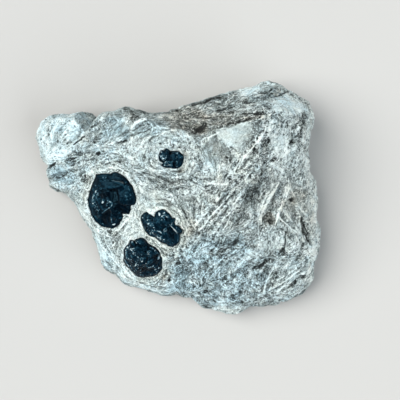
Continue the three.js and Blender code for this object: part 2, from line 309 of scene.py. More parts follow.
def set_coords(me, co):
    me.vertices.foreach_set("co", co.astype(np.float32).ravel())
    me.update()


def edges_of(me):
    e = np.empty(len(me.edges) * 2, np.int32)
    me.edges.foreach_get("vertices", e)
    return e.reshape(-1, 2)


def relax(values, e, rounds, share=0.5):
    """Averages values over neighbouring vertices."""
    n = len(values)
    deg = np.bincount(e.ravel(), minlength=n).astype(float)
    deg[deg == 0] = 1
    v = values.copy()
    cols = v.reshape(n, -1)
    for _ in range(rounds):
        out = np.empty_like(cols)
        for c in range(cols.shape[1]):
            s = np.bincount(e[:, 0], cols[e[:, 1], c], n) + np.bincount(e[:, 1], cols[e[:, 0], c], n)
            out[:, c] = s / deg
        cols = cols * (1 - share) + out * share
    return cols.reshape(values.shape)


def attribute(me, name, values):
    a = me.attributes.new(name, "FLOAT", "POINT")
    a.data.foreach_set("value", values.astype(np.float32))


# ---------------------------------------------------------------- tears
TEARS = {
    "apache_tear_large": {
        "base": [
            (96, 174), (104, 173.5), (111, 174), (115, 172), (121, 174), (126, 178), (130.5, 185), (134, 192),
            (136, 199), (135.6, 205), (131.5, 206), (131.5, 210), (129.5, 215), (124.5, 214.5), (123, 217),
            (120, 222), (116, 227), (112, 229), (104.5, 229), (100, 226), (95, 221), (91, 215), (89, 208),
            (88, 200), (89, 193), (92, 185.5), (94, 180),
        ],
        "outline": [
            (95.8, 174.6), (99.2, 174.4), (105, 173.7), (110.8, 174.3), (112.1, 173.0), (115.3, 172.1), (118.8, 173.5),
            (122.9, 175.7), (125.5, 177.9), (128.2, 181.1), (130.9, 184.6), (133.1, 188.7), (134.7, 193.6),
            (136.3, 197.6), (136.7, 200.7), (135.6, 204.5), (131.3, 205.2), (130.9, 207.9), (132, 210.1),
            (130.4, 212.3), (129.6, 215.2), (126.9, 214.4), (124.2, 214.4), (122.6, 213.6), (123.2, 216.2),
            (122.9, 218.6), (119.9, 222.4), (120.3, 223.9), (118.4, 225.7), (115.7, 227.5), (112.1, 229.3),
            (107.7, 228.6), (103.2, 228.2), (100.5, 227), (97, 223.5), (95, 222.1), (92.9, 218.1), (90.9, 215),
            (90.3, 211.9), (88.7, 207.9), (88.3, 203.4), (87.4, 199.8), (88.5, 196.3), (89.6, 192.7),
            (91.2, 189.1), (92.5, 184.2), (94.3, 180.6), (95.8, 177.5),
        ],
        "dome": 2.4, "depth": 8.5,
    },
    "apache_tear_middle": {
        "base": [
            (141, 217), (145, 213), (149, 211.5), (154, 211.5), (159, 210.5), (164, 210), (168, 214), (171, 217),
            (174, 218.5), (175.5, 224), (178, 227), (180.5, 230), (180, 234), (179, 238), (179, 242), (175, 245),
            (171, 247), (168, 245), (161, 242), (156, 237), (149, 234), (145, 229), (142, 223),
        ],
        "outline": [
            (141.4, 216.8), (143.3, 214.1), (147.1, 211.3), (148.3, 213), (147.6, 216.2), (149.3, 216.9), (150.9, 215.4),
            (153.4, 216.2), (154.6, 217.4), (155.1, 214.3), (155.6, 212.5), (159, 210.6), (162.8, 209.8), (165.6, 210.6),
            (167.7, 213), (169.2, 213.7), (171, 216.3), (172.1, 218.2), (174.8, 217.9), (175, 220.1), (174.3, 222.2),
            (175.2, 225), (178.2, 225.8), (180, 227.6), (181.6, 229.7), (182.2, 231.8), (181, 233.2), (179.7, 234),
            (179.4, 237.4), (179.1, 241.8), (175.9, 245), (172.1, 246.9), (168.3, 246.4), (166.6, 244.5),
            (161.2, 242.3), (156.9, 239), (155.2, 236.9), (153.6, 237.2), (148.2, 234.7), (146, 231.5),
            (143.9, 227.7), (142.2, 223.3), (141.2, 220.1),
        ],
        "dome": 1.8, "depth": 6,
    },
    "apache_tear_lower": {
        "base": [
            (130, 241), (134.5, 240.5), (139, 238.5), (143, 238), (146, 241), (149, 245), (154, 247), (157, 250),
            (160, 255), (161.5, 260), (162, 268), (159, 272), (154, 276), (143, 278), (139, 277), (134.5, 274.5),
            (129, 269), (124, 261), (123.6, 255), (124, 249.5), (127, 245),
        ],
        "outline": [
            (130, 240.4), (132.4, 240.3), (134.6, 241.6), (136.3, 239.6), (140.1, 238), (143.3, 238.2), (145.5, 240.1),
            (148.2, 243.9), (151.5, 245.6), (155.2, 247.7), (158, 250.4), (160.1, 254.2), (160.0, 256), (161.5, 257.5),
            (161.8, 261.8), (161.4, 266.2), (162.2, 267.8), (160.1, 271), (156.9, 274.3), (152.5, 276.5),
            (148.2, 276.7), (143.9, 277.6), (138.4, 277), (135.7, 275.4), (132.5, 271.6), (128.1, 267.2),
            (124.1, 261.8), (123.8, 259.7), (124.9, 256.4), (124.1, 254.2), (124.1, 249.9), (126, 246.6),
            (128.9, 244.5), (129.3, 242.3),
        ],
        "dome": 2.8, "depth": 7,
    },
    "apache_tear_small": {
        "base": [
            (159.5, 158), (159.5, 154), (161, 151), (164, 149.5), (167, 149), (170.6, 150.5), (174, 150.5),
            (178, 151), (182, 153.5), (184, 158), (183, 163), (180, 167), (174, 168), (167.5, 168), (162.5, 166),
            (160.5, 162),
        ],
        "outline": [
            (158.6, 155.3), (159.2, 152.2), (160.5, 150.3), (162.4, 150), (164.2, 150.9), (165.3, 149.2), (166.8, 148.8),
            (169.1, 150), (170.6, 151.6), (173.3, 151.1), (176.8, 150.9), (179.9, 151.9), (182.1, 154.2), (183.7, 156.5),
            (183.9, 159.1), (183.1, 163), (181.8, 166), (179.1, 167.9), (176, 168.5), (173, 168.3), (169.9, 167.7),
            (166.5, 167.6), (163.4, 166.8), (160.9, 165.1), (163.5, 163.0), (161.0, 161.9), (159.4, 160.8), (158.9, 158.4),
        ],
        "dome": 1.6, "depth": 4.5,
    },
}
RADIANS = np.linspace(-math.pi, math.pi, 1441)


def tear_frame(spec):
    uv = np.array(spec["base"], float)
    u, v = uv.mean(axis=0)
    z = 28.0
    for _ in range(6):
        z = float(plateau(*at(u, v, z)))
    x, y = at(u, v, z)
    r = 7
    gx = (plateau(x + r, y) - plateau(x - r, y)) / (2 * r)
    gy = (plateau(x, y + r) - plateau(x, y - r)) / (2 * r)

    def level(px, py):
        return z + gx * (px - x) + gy * (py - y)

    uv = np.array(spec["outline"], float)
    px, py = at(uv[:, 0], uv[:, 1], z)
    for _ in range(4):
        px, py = at(uv[:, 0], uv[:, 1], level(px, py))
    reach = far_along(np.stack([px, py], axis=1), x, y, RADIANS)
    ring = np.stack([np.cos(RADIANS), np.sin(RADIANS), 0 * RADIANS], axis=1)
    reach = reach + 0.10 * perlin(ring * 9.0, 90) + 0.07 * perlin(ring * 22.0, 91)
    reach[-1] = reach[0]
    return x, y, level, reach


def tear_surface(name, spec, detail, grow=0.0):
    """A nodule's mesh and, per vertex, its share of the radius, its share of the upper side and its place."""
    x, y, level, reach = tear_frame(spec)
    bm = bmesh.new()
    bmesh.ops.create_icosphere(bm, subdivisions=detail, radius=1.0)
    me = bpy.data.meshes.new(name)
    bm.to_mesh(me)
    bm.free()
    co = coords(me)
    angle = np.arctan2(co[:, 1], co[:, 0])
    q = np.arccos(np.clip(co[:, 2], -1, 1)) / (math.pi / 2)
    s = np.sin(math.pi / 2 * np.minimum(q, 2 - q))
    c = np.where(q <= 1, np.clip(1 - s ** 2.5, 0, 1), np.sqrt(np.clip(1 - s * s, 0, 1)))
    r = np.interp(angle, RADIANS, reach)
    # The inner part of the nodule forgets the outline's small bays.
    even = np.interp(angle, RADIANS, np.convolve(np.tile(reach[:-1], 3), np.ones(121) / 121, "same")[1440:2881])
    r = r * smooth(s, 0.55, 1.0) + even * (1 - smooth(s, 0.55, 1.0))
    px = x + np.cos(angle) * s * (r + grow)
    py = y + np.sin(angle) * s * (r + grow)
    h = np.where(q <= 1, spec["dome"] * c, -spec["depth"] * c)
    out = np.stack([px, py, level(px, py) + h], axis=1)
    if grow:
        out = out + co * grow * 0.5
    set_coords(me, out)
    ob = bpy.data.objects.new(name, me)
    scene.collection.objects.link(ob)
    return ob, s, q, out


class Marks:
    """Chart-placed marks on one nodule: relief in millimetres, tone (mostly painted glints, painted reflection and
    painted shade) and matt patches.
    """

    def __init__(self, p, seed):
        u, v = chart(p[:, 0], p[:, 1], p[:, 2])
        self.p = p
        self.u = u + 0.35 * perlin(p / 0.8, seed) + 0.5 * perlin(p / 2.2, seed + 1)
        self.v = v + 0.35 * perlin(p / 0.8, seed + 2) + 0.5 * perlin(p / 2.2, seed + 3)
        self.h = np.zeros(len(p))
        self.tone = np.zeros(len(p))
        self.matt = np.zeros(len(p))
        self.tan = np.zeros(len(p))
        self.chip = np.zeros(len(p))

    def add(self, mask, dz=0.0, tone=0.0, matt=0.0, tan=0.0, chip=0.0):
        self.h += dz * mask
        self.tone += tone * mask
        self.matt += matt * mask
        self.tan += tan * mask
        self.chip += chip * mask

    def line(self, points, width, taper=0.4):
        best = np.full(len(self.u), 1e9)
        total = sum(math.dist(a, b) for a, b in zip(points, points[1:]))
        run = 0.0
        for a, b in zip(points, points[1:]):
            du, dv = b[0] - a[0], b[1] - a[1]
            size = math.hypot(du, dv)
            t = np.clip(((self.u - a[0]) * du + (self.v - a[1]) * dv) / size ** 2, 0, 1)
            d = np.hypot(self.u - a[0] - t * du, self.v - a[1] - t * dv)
            w = width * (1 - taper * np.abs(2 * (run + t * size) / total - 1) ** 1.5)
            best = np.minimum(best, d / w)
            run += size
        return np.exp(-best ** 2)

    def spot(self, u, v, a, b=None, turn=0, soft=0.4):
        b = a if b is None else b
        c, s = math.cos(math.radians(turn)), math.sin(math.radians(turn))
        du, dv = self.u - u, -(self.v - v)
        r = np.sqrt(((du * c + dv * s) / a) ** 2 + ((-du * s + dv * c) / b) ** 2)
        return smooth(-r, -1 - soft, -1 + soft)

    def inside(self, points, soft=1.0):
        p = np.array(points, float)
        dist = np.full(len(self.u), 1e9)
        odd = np.zeros(len(self.u), bool)
        for (au, av), (bu, bv) in zip(p, np.roll(p, -1, axis=0)):
            du, dv = bu - au, bv - av
            t = np.clip(((self.u - au) * du + (self.v - av) * dv) / (du * du + dv * dv), 0, 1)
            dist = np.minimum(dist, np.hypot(self.u - au - t * du, self.v - av - t * dv))
            if av != bv:
                odd ^= ((av > self.v) != (bv > self.v)) & (self.u < (bu - au) * (self.v - av) / (bv - av) + au)
        return smooth(np.where(odd, dist, -dist), -soft, soft)

    def arcs(self, u, v, pitch, reach):
        """Ripples of a shell-like break round a chart point."""
        d = np.hypot(self.u - u, self.v - v)
        return np.sin(2 * math.pi * d / pitch) * np.exp(-(d / reach) ** 2)

    def tilt(self, mask, u, v, per_u, per_v):
        """Leans a facet, in millimetres of height per chart step."""
        self.h += mask * ((self.u - u) * per_u + (self.v - v) * per_v)


def detail_large(m):
    # Tone marks on the large nodule: the paler left flank and right facet are painted reflection, the small bright
    # spots and lines painted glints (in part pale edges of the glass), the dark valley and foot painted shade; the tan
    # lines are the glass's own grey-brown streaks.
    right = m.inside([(114, 184), (122, 183), (131, 185), (137, 196), (137, 204), (130, 206), (120, 204), (117, 197), (114.5, 191)], 1.2)
    m.add(right, dz=0.25, tone=0.05, matt=0.35, chip=0.15)
    m.tilt(right, 125, 195, 0.035, -0.01)
    m.add(m.spot(127, 193, 7, 8, 0, 0.7), tone=0.03, chip=0.1)
    m.add(m.inside([(87, 196), (92, 194), (96, 205), (100, 216), (107, 229), (98, 225), (90, 214), (87, 205)], 1.6), tone=0.13, chip=0.2)
    m.add(m.inside([(94, 176), (103, 175), (105, 184), (98, 189), (91, 193), (90, 190)], 1.6), tone=0.09, chip=0.3)
    m.add(m.inside([(99, 191), (107, 187.5), (118, 187), (118, 202), (112, 199), (105, 197), (100, 199)], 1.4), tone=-0.16, matt=-0.1)
    m.add(m.inside([(112, 173), (119, 173), (127, 178), (132, 186), (127, 185), (121, 180.5), (113, 179)], 1.0), dz=-0.15, tone=-0.14)
    m.add(m.inside([(92, 195), (99, 191), (104, 200), (102, 208), (98, 212), (92, 206)], 1.5), tone=0.04, chip=0.35)
    for u, v in [(126, 192.5), (125.5, 195.5), (123, 191), (132, 194.5), (121, 200), (127.5, 199.5), (129, 189), (124, 187)]:
        m.add(m.spot(u, v, 0.7, 0.7, 0, 0.7), dz=0.10, tone=0.16)
    # Dark valley and its foot: painted shade, with the relief sunk.
    dark = m.inside([(111, 190), (117, 190), (119, 204), (131, 206), (130, 214), (122, 213), (114, 212), (111, 204)], 1.5)
    m.add(dark, dz=-0.55, tone=-0.18, chip=-0.3)
    m.tilt(dark, 118, 204, 0.01, 0.03)
    foot = m.inside([(102.5, 214), (109, 209), (112, 214), (110, 223), (104, 226), (101, 220)], 1.2)
    m.add(foot, dz=-0.5, tone=-0.2, chip=-0.3)
    m.add(m.inside([(91, 214), (98, 216), (103, 228), (97, 224)], 1.5), dz=-0.2, tone=0.05, matt=0.3)
    m.add(m.inside([(112, 213), (121, 213), (121, 219), (113, 226), (110, 222)], 1.5), dz=-0.15, tone=-0.02)
    m.add(m.line([(112.4, 180.2), (115.5, 181.4), (119, 181.6), (123.2, 183.2)], 1.0), dz=0.12, tone=0.36, matt=0.6, tan=1.0)
    m.add(m.line([(115, 176.2), (119.4, 177.7)], 0.7), dz=0.08, tone=0.30, matt=0.5, tan=1.0)
    m.add(m.line([(111, 178.6), (118, 179.6), (123, 181)], 0.9), dz=-0.12, tone=-0.15)
    m.add(m.spot(104, 182, 10, 7, 20), matt=0.2, tone=-0.04, chip=0.2)
    m.add(m.line([(113.5, 183.2), (118, 183.6), (124, 186)], 0.8), dz=0.1, tone=0.22, tan=0.6)
    m.add(m.line([(119.6, 180), (122, 181.2), (124, 183.4)], 0.6), dz=0.1, tone=0.36, tan=1.0)
    m.add(m.line([(124.6, 182), (127.6, 184.6)], 0.7), dz=0.1, tone=0.2, tan=0.7)
    m.add(m.line([(112.5, 184.6), (108, 187), (104, 186.4)], 0.6), dz=0.1, tone=0.16)
    m.add(m.line([(112, 186), (105, 188.2), (99.5, 189.6)], 0.6), dz=0.1, tone=0.18)
    m.add(m.line([(95, 196.5), (97.6, 199.6), (99, 203)], 0.6), dz=0.12, tone=0.3)
    m.add(m.line([(92.5, 203.5), (95.5, 206), (98.2, 210)], 0.6), dz=0.12, tone=0.26)
    m.add(m.line([(98, 192.5), (97, 195), (99.4, 197.4)], 0.6), dz=0.12, tone=0.3)
    m.add(m.line([(103.6, 204.4), (101.2, 207.2), (102.8, 209.8), (106.4, 208.4)], 0.55), dz=0.12, tone=0.28)
    m.add(m.line([(113, 207.5), (116.5, 210), (119, 209.2)], 0.55), dz=0.1, tone=0.2)
    m.add(m.line([(120, 207.4), (124.5, 208.6), (127.6, 211.6)], 0.6), dz=0.1, tone=0.18)
    m.add(m.line([(114, 216.6), (116.6, 219), (116, 222.6)], 0.6), dz=0.1, tone=0.26)
    m.add(m.line([(107.8, 214.6), (106.4, 218.8), (108, 224)], 0.6), dz=0.1, tone=0.22)
    m.add(m.line([(113, 184), (120, 185.2)], 0.9), dz=-0.25, tone=-0.10)
    m.add(m.spot(126.4, 182.4, 1.2), dz=0.15, tone=0.26)
    m.add(m.line([(108.6, 188.3), (114.8, 187.3)], 0.75), dz=0.25, tone=0.36)
    m.add(m.line([(108.6, 190), (114.5, 189.3)], 0.8), dz=-0.3, tone=-0.1)
    m.add(m.line([(97.5, 189.8), (95.6, 191.2), (94.3, 194), (93, 198.2)], 0.8), dz=0.28, tone=0.42)
    m.add(m.spot(96.2, 190.9, 0.9), tone=0.3)
    m.add(m.spot(93.4, 201, 1.9, 2.6, 0), dz=0.18, tone=0.18)
    m.add(m.line([(97.5, 195.5), (101.5, 197.5)], 0.9), dz=-0.4, tone=-0.12)
    # Bright dots and lines: painted glints.
    m.add(m.spot(102.8, 202.3, 1.1), dz=0.3, tone=0.72)
    m.add(m.spot(103, 199.6, 0.8), dz=0.2, tone=0.3)
    m.add(m.line([(107.6, 199.9), (110, 200.9), (112, 203.2), (111.6, 205.6)], 0.8, 0.5), dz=0.4, tone=0.52)
    m.add(m.spot(108.2, 203.8, 3.2, 2.4, 10), dz=0.1, tone=0.16)
    m.add(m.line([(102, 206), (105, 203)], 0.9), dz=-0.4, tone=-0.14)
    m.add(m.line([(108.8, 208), (105, 210.6), (102.2, 213.2)], 0.65, 0.5), dz=0.4, tone=0.55, tan=0.2)
    m.add(m.line([(112.8, 204.4), (111, 206.2), (108.8, 208)], 0.55, 0.5), dz=0.3, tone=0.42)
    m.add(m.line([(109.6, 201.2), (107.6, 203.4), (106, 206.4)], 0.5), dz=0.15, tone=0.2)
    m.add(m.line([(110.8, 213.5), (111.2, 216.3)], 0.8), dz=0.25, tone=0.5)
    m.add(m.line([(110.6, 217), (111.3, 220.4), (111.9, 222.6)], 1.1), dz=0.25, tone=0.5)
    m.add(m.spot(113.9, 224.4, 1.7, 0.7, 15), dz=0.15, tone=0.75)
    m.add(m.line([(118, 213.8), (120.8, 212.2)], 0.7), dz=0.2, tone=0.34)
    m.add(m.line([(119, 218.6), (122.4, 217.6)], 0.8), dz=0.15, tone=0.42)
    m.add(m.line([(97, 209), (99, 211), (98.5, 213)], 1.0), dz=0.2, tone=0.2)
    m.add(m.spot(99.5, 215.5, 1.2), dz=0.12, tone=0.22)
    m.add(m.spot(107.5, 222.3, 0.9), tone=0.2)
    m.add(m.line([(98, 186), (103, 184), (108, 185.5)], 1.1), dz=0.06, tone=0.08)
    m.add(m.line([(100, 190), (104.5, 188.4)], 1.0), dz=0.08, tone=0.10)
    m.h += 0.06 * m.arcs(103, 205, 3.4, 9) + 0.02 * m.arcs(118, 172, 2.8, 12)


def detail_middle(m):
    # Tone marks on the middle nodule: bright spots and lines are painted glints, in part pale edges of the glass; the
    # darkened scoop and the dark lines are painted shade, with the relief sunk.
    scoop = m.spot(170.8, 233.5, 3.2, 8.0, 12, 0.25)
    m.add(scoop, dz=-1.0, tone=-0.2)
    m.add(m.line([(171, 226.3), (174, 229.3), (177, 232.6)], 0.9, 0.5), dz=0.3, tone=0.62, tan=0.4, matt=0.4)
    m.add(m.line([(176.5, 232), (178.2, 237), (177.6, 242)], 1.1), dz=0.15, tone=0.16)
    for u, v in [(177.8, 228.2), (180.5, 231.4)]:
        d = np.hypot(m.u - u, m.v - v)
        m.add(np.exp(-((d - 1.5) / 0.55) ** 2), dz=0.12, tone=-0.05)
        m.add(np.exp(-(d / 0.8) ** 2), dz=-0.25, tone=0.38)
    m.add(m.line([(175.6, 226.4), (177.2, 230.6), (179.4, 233.2)], 0.6), tone=0.3)
    m.add(m.spot(159, 214.2, 0.9, 1.7, 0), dz=0.2, tone=0.85, matt=0.5)
    m.add(m.line([(157.6, 231.1), (160, 231.6), (161.5, 233.2)], 0.6), dz=0.25, tone=0.68)
    m.add(m.spot(150, 224.5, 3.2, 2.2, -20), dz=0.1, tone=0.16)
    for u, v, t in [(147, 222.5, .3), (149, 223.6, .36), (151, 225.2, .3), (154, 227, .22), (156.5, 223.5, .2), (160.5, 227.3, .22), (162.3, 220.2, .22),
                    (143, 217.6, .4), (155.3, 219.3, .25), (159.5, 223.2, .2), (165, 238.5, .2), (161.5, 236.5, .18), (168, 240, .22), (157.5, 235, .15)]:
        m.add(m.spot(u, v, 0.7, 0.6, 0, 0.7), dz=0.12, tone=t)
    m.add(m.line([(156, 236), (162, 238.5), (166, 240)], 1.2), dz=0.15, tone=0.12)
    m.add(m.line([(149.5, 220.6), (155, 221.2)], 0.9), dz=-0.35, tone=-0.15)
    m.add(m.spot(151, 217.8, 2.6, 1.2, 0), dz=-0.3, tone=-0.15)
    m.add(m.inside([(141, 217), (146, 213), (149, 219), (156, 233), (166, 241), (170, 246), (160, 242), (150, 236), (143, 226)], 2.0), tone=0.08, chip=0.4)
    m.add(m.spot(163.5, 219, 5, 6, 20, 0.7), tone=0.05, chip=0.4)
    m.add(m.line([(144.6, 221), (148.6, 219.6), (151.4, 221.4)], 0.55), dz=0.1, tone=0.28)
    m.add(m.line([(151, 228.6), (154, 231.4), (157.4, 232)], 0.55), dz=0.1, tone=0.24)
    m.add(m.line([(161, 216.4), (164.6, 215), (168, 217.4)], 0.55), dz=0.1, tone=0.24)
    m.add(m.line([(165.4, 227.6), (163.2, 230.6), (164.6, 234.4)], 0.55), dz=0.1, tone=0.26)
    m.add(m.line([(157, 217.2), (158.4, 220.6), (156.4, 223)], 0.55), dz=0.1, tone=0.2)
    m.add(m.line([(161, 213), (166, 219), (169, 226)], 1.3), dz=-0.12, tone=-0.08)
    m.add(m.line([(169.5, 215.5), (171.5, 219), (172.2, 224)], 0.8), dz=0.2, tone=0.14)
    m.add(m.spot(173.6, 219.6, 1.0), dz=0.2, tone=0.2)
    m.add(m.line([(146, 229), (152, 234), (158, 238.5)], 1.0), dz=-0.1, tone=0.06)
    m.tilt(m.inside([(143, 218), (160, 212), (168, 224), (167, 240), (150, 232)], 2), 157, 226, -0.012, 0.012)
    m.h += 0.07 * m.arcs(171, 247, 2.6, 9) + 0.05 * m.arcs(146, 214, 2.4, 10)


def detail_lower(m):
    # Tone marks on the lower nodule: bright spots and lines are painted glints, in part pale edges of the glass; the
    # dark hollows are painted shade, with the relief sunk.
    m.add(m.spot(139.5, 241.5, 4.6, 3.4, 0), dz=0.35, tone=0.06, matt=0.3)
    m.add(m.line([(134.3, 241.3), (136, 245.5), (141, 246.5), (147, 245)], 1.1), dz=-0.4, tone=-0.12)
    m.add(m.spot(131, 246.5, 3.4, 3.8, 30), dz=0.25, tone=0.12)
    m.add(m.spot(132.2, 242, 1.1), dz=0.2, tone=0.45)
    m.add(m.line([(126, 250), (126.6, 254), (128, 258.5)], 1.3), dz=0.3, tone=0.26)
    m.add(m.spot(127.3, 247.6, 0.8), tone=0.7)
    m.add(m.line([(125, 260), (127, 263.5), (129, 266)], 0.7), dz=0.25, tone=0.45)
    m.add(m.line([(131.3, 254.7), (132.6, 257.2)], 0.7), dz=0.25, tone=0.4)
    m.add(m.spot(135.3, 255.2, 0.7), dz=0.2, tone=0.4)
    m.add(np.exp(-((np.hypot(m.u - 134.6, m.v - 264.4) - 1.5) / 0.5) ** 2), dz=0.25, tone=0.5)
    m.add(m.line([(150, 247.5), (152.8, 249.2)], 1.0), dz=0.25, tone=0.42)
    m.add(m.line([(145.5, 265.6), (149, 261.5), (153.5, 258)], 0.7), dz=0.3, tone=0.3)
    m.add(m.line([(147.5, 266.5), (152, 262.5), (155.5, 258.5)], 0.7), dz=0.3, tone=0.26)
    m.add(m.line([(148.6, 268.3), (151.5, 267), (153.6, 265.4)], 0.75), dz=0.3, tone=0.75)
    m.add(m.spot(154.8, 267.6, 0.7), tone=0.5)
    m.add(m.line([(157.4, 259.8), (158.8, 256.4), (159.4, 255)], 0.75), dz=0.2, tone=0.55)
    m.add(m.spot(148, 270.5, 6.5, 3.6, 5), dz=-0.5, tone=-0.16)
    m.add(m.line([(151, 263.6), (155, 262)], 0.9), dz=-0.4, tone=-0.15)
    m.add(m.spot(145.3, 252.6, 1.4), dz=-0.35, tone=-0.14)
    for u, v, t in [(140, 257.5, .25), (137.5, 257, .3), (132, 261.5, .3), (135.8, 269.6, .3), (140.6, 269.8, .4), (140.3, 274.7, .3), (143.2, 274.6, .25),
                    (144.6, 269.2, .3), (158.4, 265.8, .3), (145.8, 245.8, .3), (137, 262, .2), (148.7, 254.2, .2), (133.2, 248.4, .3), (140.3, 243.6, .25),
                    (128.2, 262.2, .3), (130.5, 259, .25), (150.5, 257, .2), (154, 253.5, .2), (142, 261, .15), (138.6, 252.4, .2), (153, 271.5, .2)]:
        m.add(m.spot(u, v, 0.75, 0.6, 20, 0.7), dz=0.16, tone=t)
    m.add(m.spot(142.5, 253, 7, 5, 0), tone=-0.05)
    m.h += 0.08 * m.arcs(152, 266, 2.4, 9) + 0.06 * m.arcs(127, 252, 2.4, 8)


def detail_small(m):
    # Tone marks on the small nodule: the dark grooves are painted shade, with the relief sunk; bright spots and lines
    # are painted glints, in part pale edges of the glass.
    m.add(m.line([(170.6, 150.5), (168.5, 156), (166, 160.5), (161.5, 162.6)], 1.3), dz=-0.55, tone=-0.18)
    m.add(m.line([(166, 160), (170, 160.5), (173, 163), (174.5, 168)], 1.2), dz=-0.4, tone=-0.16)
    m.add(m.line([(161.2, 155.6), (162.6, 158), (165, 158.6), (166.6, 157)], 0.8), dz=0.3, tone=0.34)
    m.add(m.line([(161, 151.4), (162.4, 153)], 0.7), dz=0.25, tone=0.5)
    m.add(m.spot(166.6, 153.2, 1.0), dz=0.2, tone=0.26)
    m.add(m.spot(162.4, 156, 2.6, 3.2, 0), dz=0.25, tone=0.12)
    m.add(m.line([(163.4, 163), (166.4, 161)], 0.7), dz=0.15, tone=0.6)
    m.add(m.line([(163.6, 165.4), (165.6, 163.2)], 0.6), dz=0.15, tone=0.5)
    m.add(m.spot(169.2, 163.4, 3.0, 2.2, 10), dz=0.15, tone=0.14)
    m.add(m.spot(172.1, 161.8, 1.0), dz=0.15, tone=0.4)
    m.add(m.spot(177.4, 162.2, 1.0, 1.7, 0), dz=0.12, tone=0.3)
    m.add(m.spot(174.5, 165.4, 2.2, 3.0, 0), dz=-0.25, tone=-0.16)
    m.add(m.spot(173.2, 154.6, 0.9), tone=0.22)
    m.add(m.spot(177, 157, 5, 4.5, 0, 0.7), dz=0.3, tone=0.05, matt=0.2)
    m.add(m.line([(173, 152.3), (178, 152.6), (181.5, 155.5)], 0.7), dz=0.1, tone=0.08)
    m.h += 0.05 * m.arcs(163, 157, 1.8, 4)


DETAIL = {"apache_tear_large": detail_large, "apache_tear_middle": detail_middle, "apache_tear_lower": detail_lower,
          "apache_tear_small": detail_small}
CHIPS = {"apache_tear_large": 0.55, "apache_tear_middle": 0.9, "apache_tear_lower": 1.25, "apache_tear_small": 0.85}
BASE = {"apache_tear_large": 0.21, "apache_tear_middle": 0.31, "apache_tear_lower": 0.28, "apache_tear_small": 0.30}
LUMPS = {"apache_tear_large": 0.5, "apache_tear_middle": 0.5, "apache_tear_lower": 1.25, "apache_tear_small": 0.55}


def make_tear(name, spec, detail, grow=0.0):
    return tear_surface(name, spec, detail, grow)[0]


def detailed_tear(name, spec):
    ob, s, q, p = tear_surface(name + "_visual", spec, 6)
    e = edges_of(ob.data)
    n = relax(normals(ob.data), e, 2)
    n /= np.linalg.norm(n, axis=1)[:, None]
    seed = 100 + 11 * list(TEARS).index(name)
    m = Marks(p, seed)
    DETAIL[name](m)
    lumps = LUMPS[name]
    warp = p + 0.5 * np.stack([perlin(p / 1.8, seed + 4), perlin(p / 1.8, seed + 5), perlin(p / 1.8, seed + 6)], axis=1)
    rough = 0.30 * lumps * fbm(warp, 3.2, 3, seed=seed + 7)
    f1, f2, ident = cells(warp, 1.9, seed)
    rough += lumps * (0.16 * (0.6 - f1 ** 2) - 0.10 * np.exp(-((f2 - f1) / 0.09) ** 2) + 0.10 * (ident - 0.5))
    rough += 0.12 * lumps * (ridged(warp, 1.1, 2, seed=seed + 8) - 0.5)
    rim = smooth(s, 1.0, 0.86) * (q < 1)
    upper = smooth(q, 1.02, 0.9)
    h = (m.h + rough * (1 - 0.4 * np.clip(m.matt, 0, 1))) * upper * (0.15 + 0.85 * rim) + 0.05 * fbm(p, 2.0, 2, seed=seed + 9) * (1 - upper) - 0.05 * (1 - upper)
    set_coords(ob.data, p + n * h[:, None])
    # Painted shade: tone darkens in the hollows of the relief and lifts a little on its ridges (painted highlight).
    hollow = relax(h, e, 5, 0.6) - h
    tone = BASE[name] + m.tone + 0.06 * fbm(p, 2.5, 2, seed=seed + 12) - 0.9 * np.clip(hollow, -0.08, 0.15)
    edge_on = smooth(s, 0.86, 0.98)
    tone = np.where(q < 1, tone - 0.05 * edge_on, 0.1)
    matt = np.clip(0.12 + m.matt + 0.25 * fbm(p, 1.6, 2, seed=seed + 15) + 0.5 * edge_on, 0, 1)
    attribute(ob.data, "tone", tone)
    attribute(ob.data, "matt", matt)
    attribute(ob.data, "tan", np.clip(m.tan, 0, 1))
    # chip weights the chip bump and the painted sparkle of the glass shader.
    chip = np.clip(CHIPS[name] * smooth(fbm(p, 3.0, 2, seed=seed + 16), -0.45, 0.15) + m.chip, 0, 1.6)
    attribute(ob.data, "chip", chip * (1 - 0.3 * edge_on) * (q < 1))
    return ob


# ---------------------------------------------------------------- matrix
def base_matrix():
    na, nt, nb = 720, 150, 60
    angle = np.linspace(-math.pi, math.pi, na, endpoint=False)
    far = far_along(outline, CORE[0], CORE[1], angle)
    z0, width, rnd = side(angle, 0), side(angle, 1), side(angle, 2)
    rows = []
    for i in range(1, nt + 1):
        s = 1 - (1 - i / nt) ** 1.3
        x = CORE[0] + np.cos(angle) * s * far
        y = CORE[1] + np.sin(angle) * s * far
        top = np.maximum(plateau(x, y), z0 + 1)
        rows.append(np.stack([x, y, z0 + (top - z0) * rise((1 - s) * far / width, rnd)], axis=1))
    for i in range(1, nb + 1):
        s = (1 - i / (nb + 1)) ** 1.0
        s = 1 - (i / (nb + 1)) ** 1.6
        x = CORE[0] + np.cos(angle) * s * far
        y = CORE[1] + np.sin(angle) * s * far
        rows.append(np.stack([x, y, z0 * (1 - rise((1 - s) * far / 10.0, 1.5))], axis=1))
    ztop = float(plateau(CORE[0], CORE[1]))
    verts = np.concatenate(rows + [np.array([[CORE[0], CORE[1], ztop], [CORE[0], CORE[1], 0.0]])])
    for n, d in breaks:
        r = verts - CORE
        along = r @ n
        f = np.where(along > d, d / np.maximum(along, 1e-9), 1.0)
        keep0 = verts[:, 2] <= 1e-9
        verts = CORE + r * f[:, None]
        verts[keep0, 2] = 0
        verts[:, 2] = np.maximum(verts[:, 2], 0)
    nr = nt + nb
    i = np.arange(na)
    j = (i + 1) % na
    faces = []
    for r in range(nr - 1):
        a, b = r * na, (r + 1) * na
        faces.append(np.stack([a + i, b + i, b + j, a + j], axis=1))
    faces = np.concatenate(faces).tolist()
    ct, cb = nr * na, nr * na + 1
    faces += np.stack([np.full(na, ct), i, j], axis=1).tolist()
    last = (nr - 1) * na
    faces += np.stack([np.full(na, cb), last + j, last + i], axis=1).tolist()
    return new_object("perlite_matrix_visual", verts, faces)


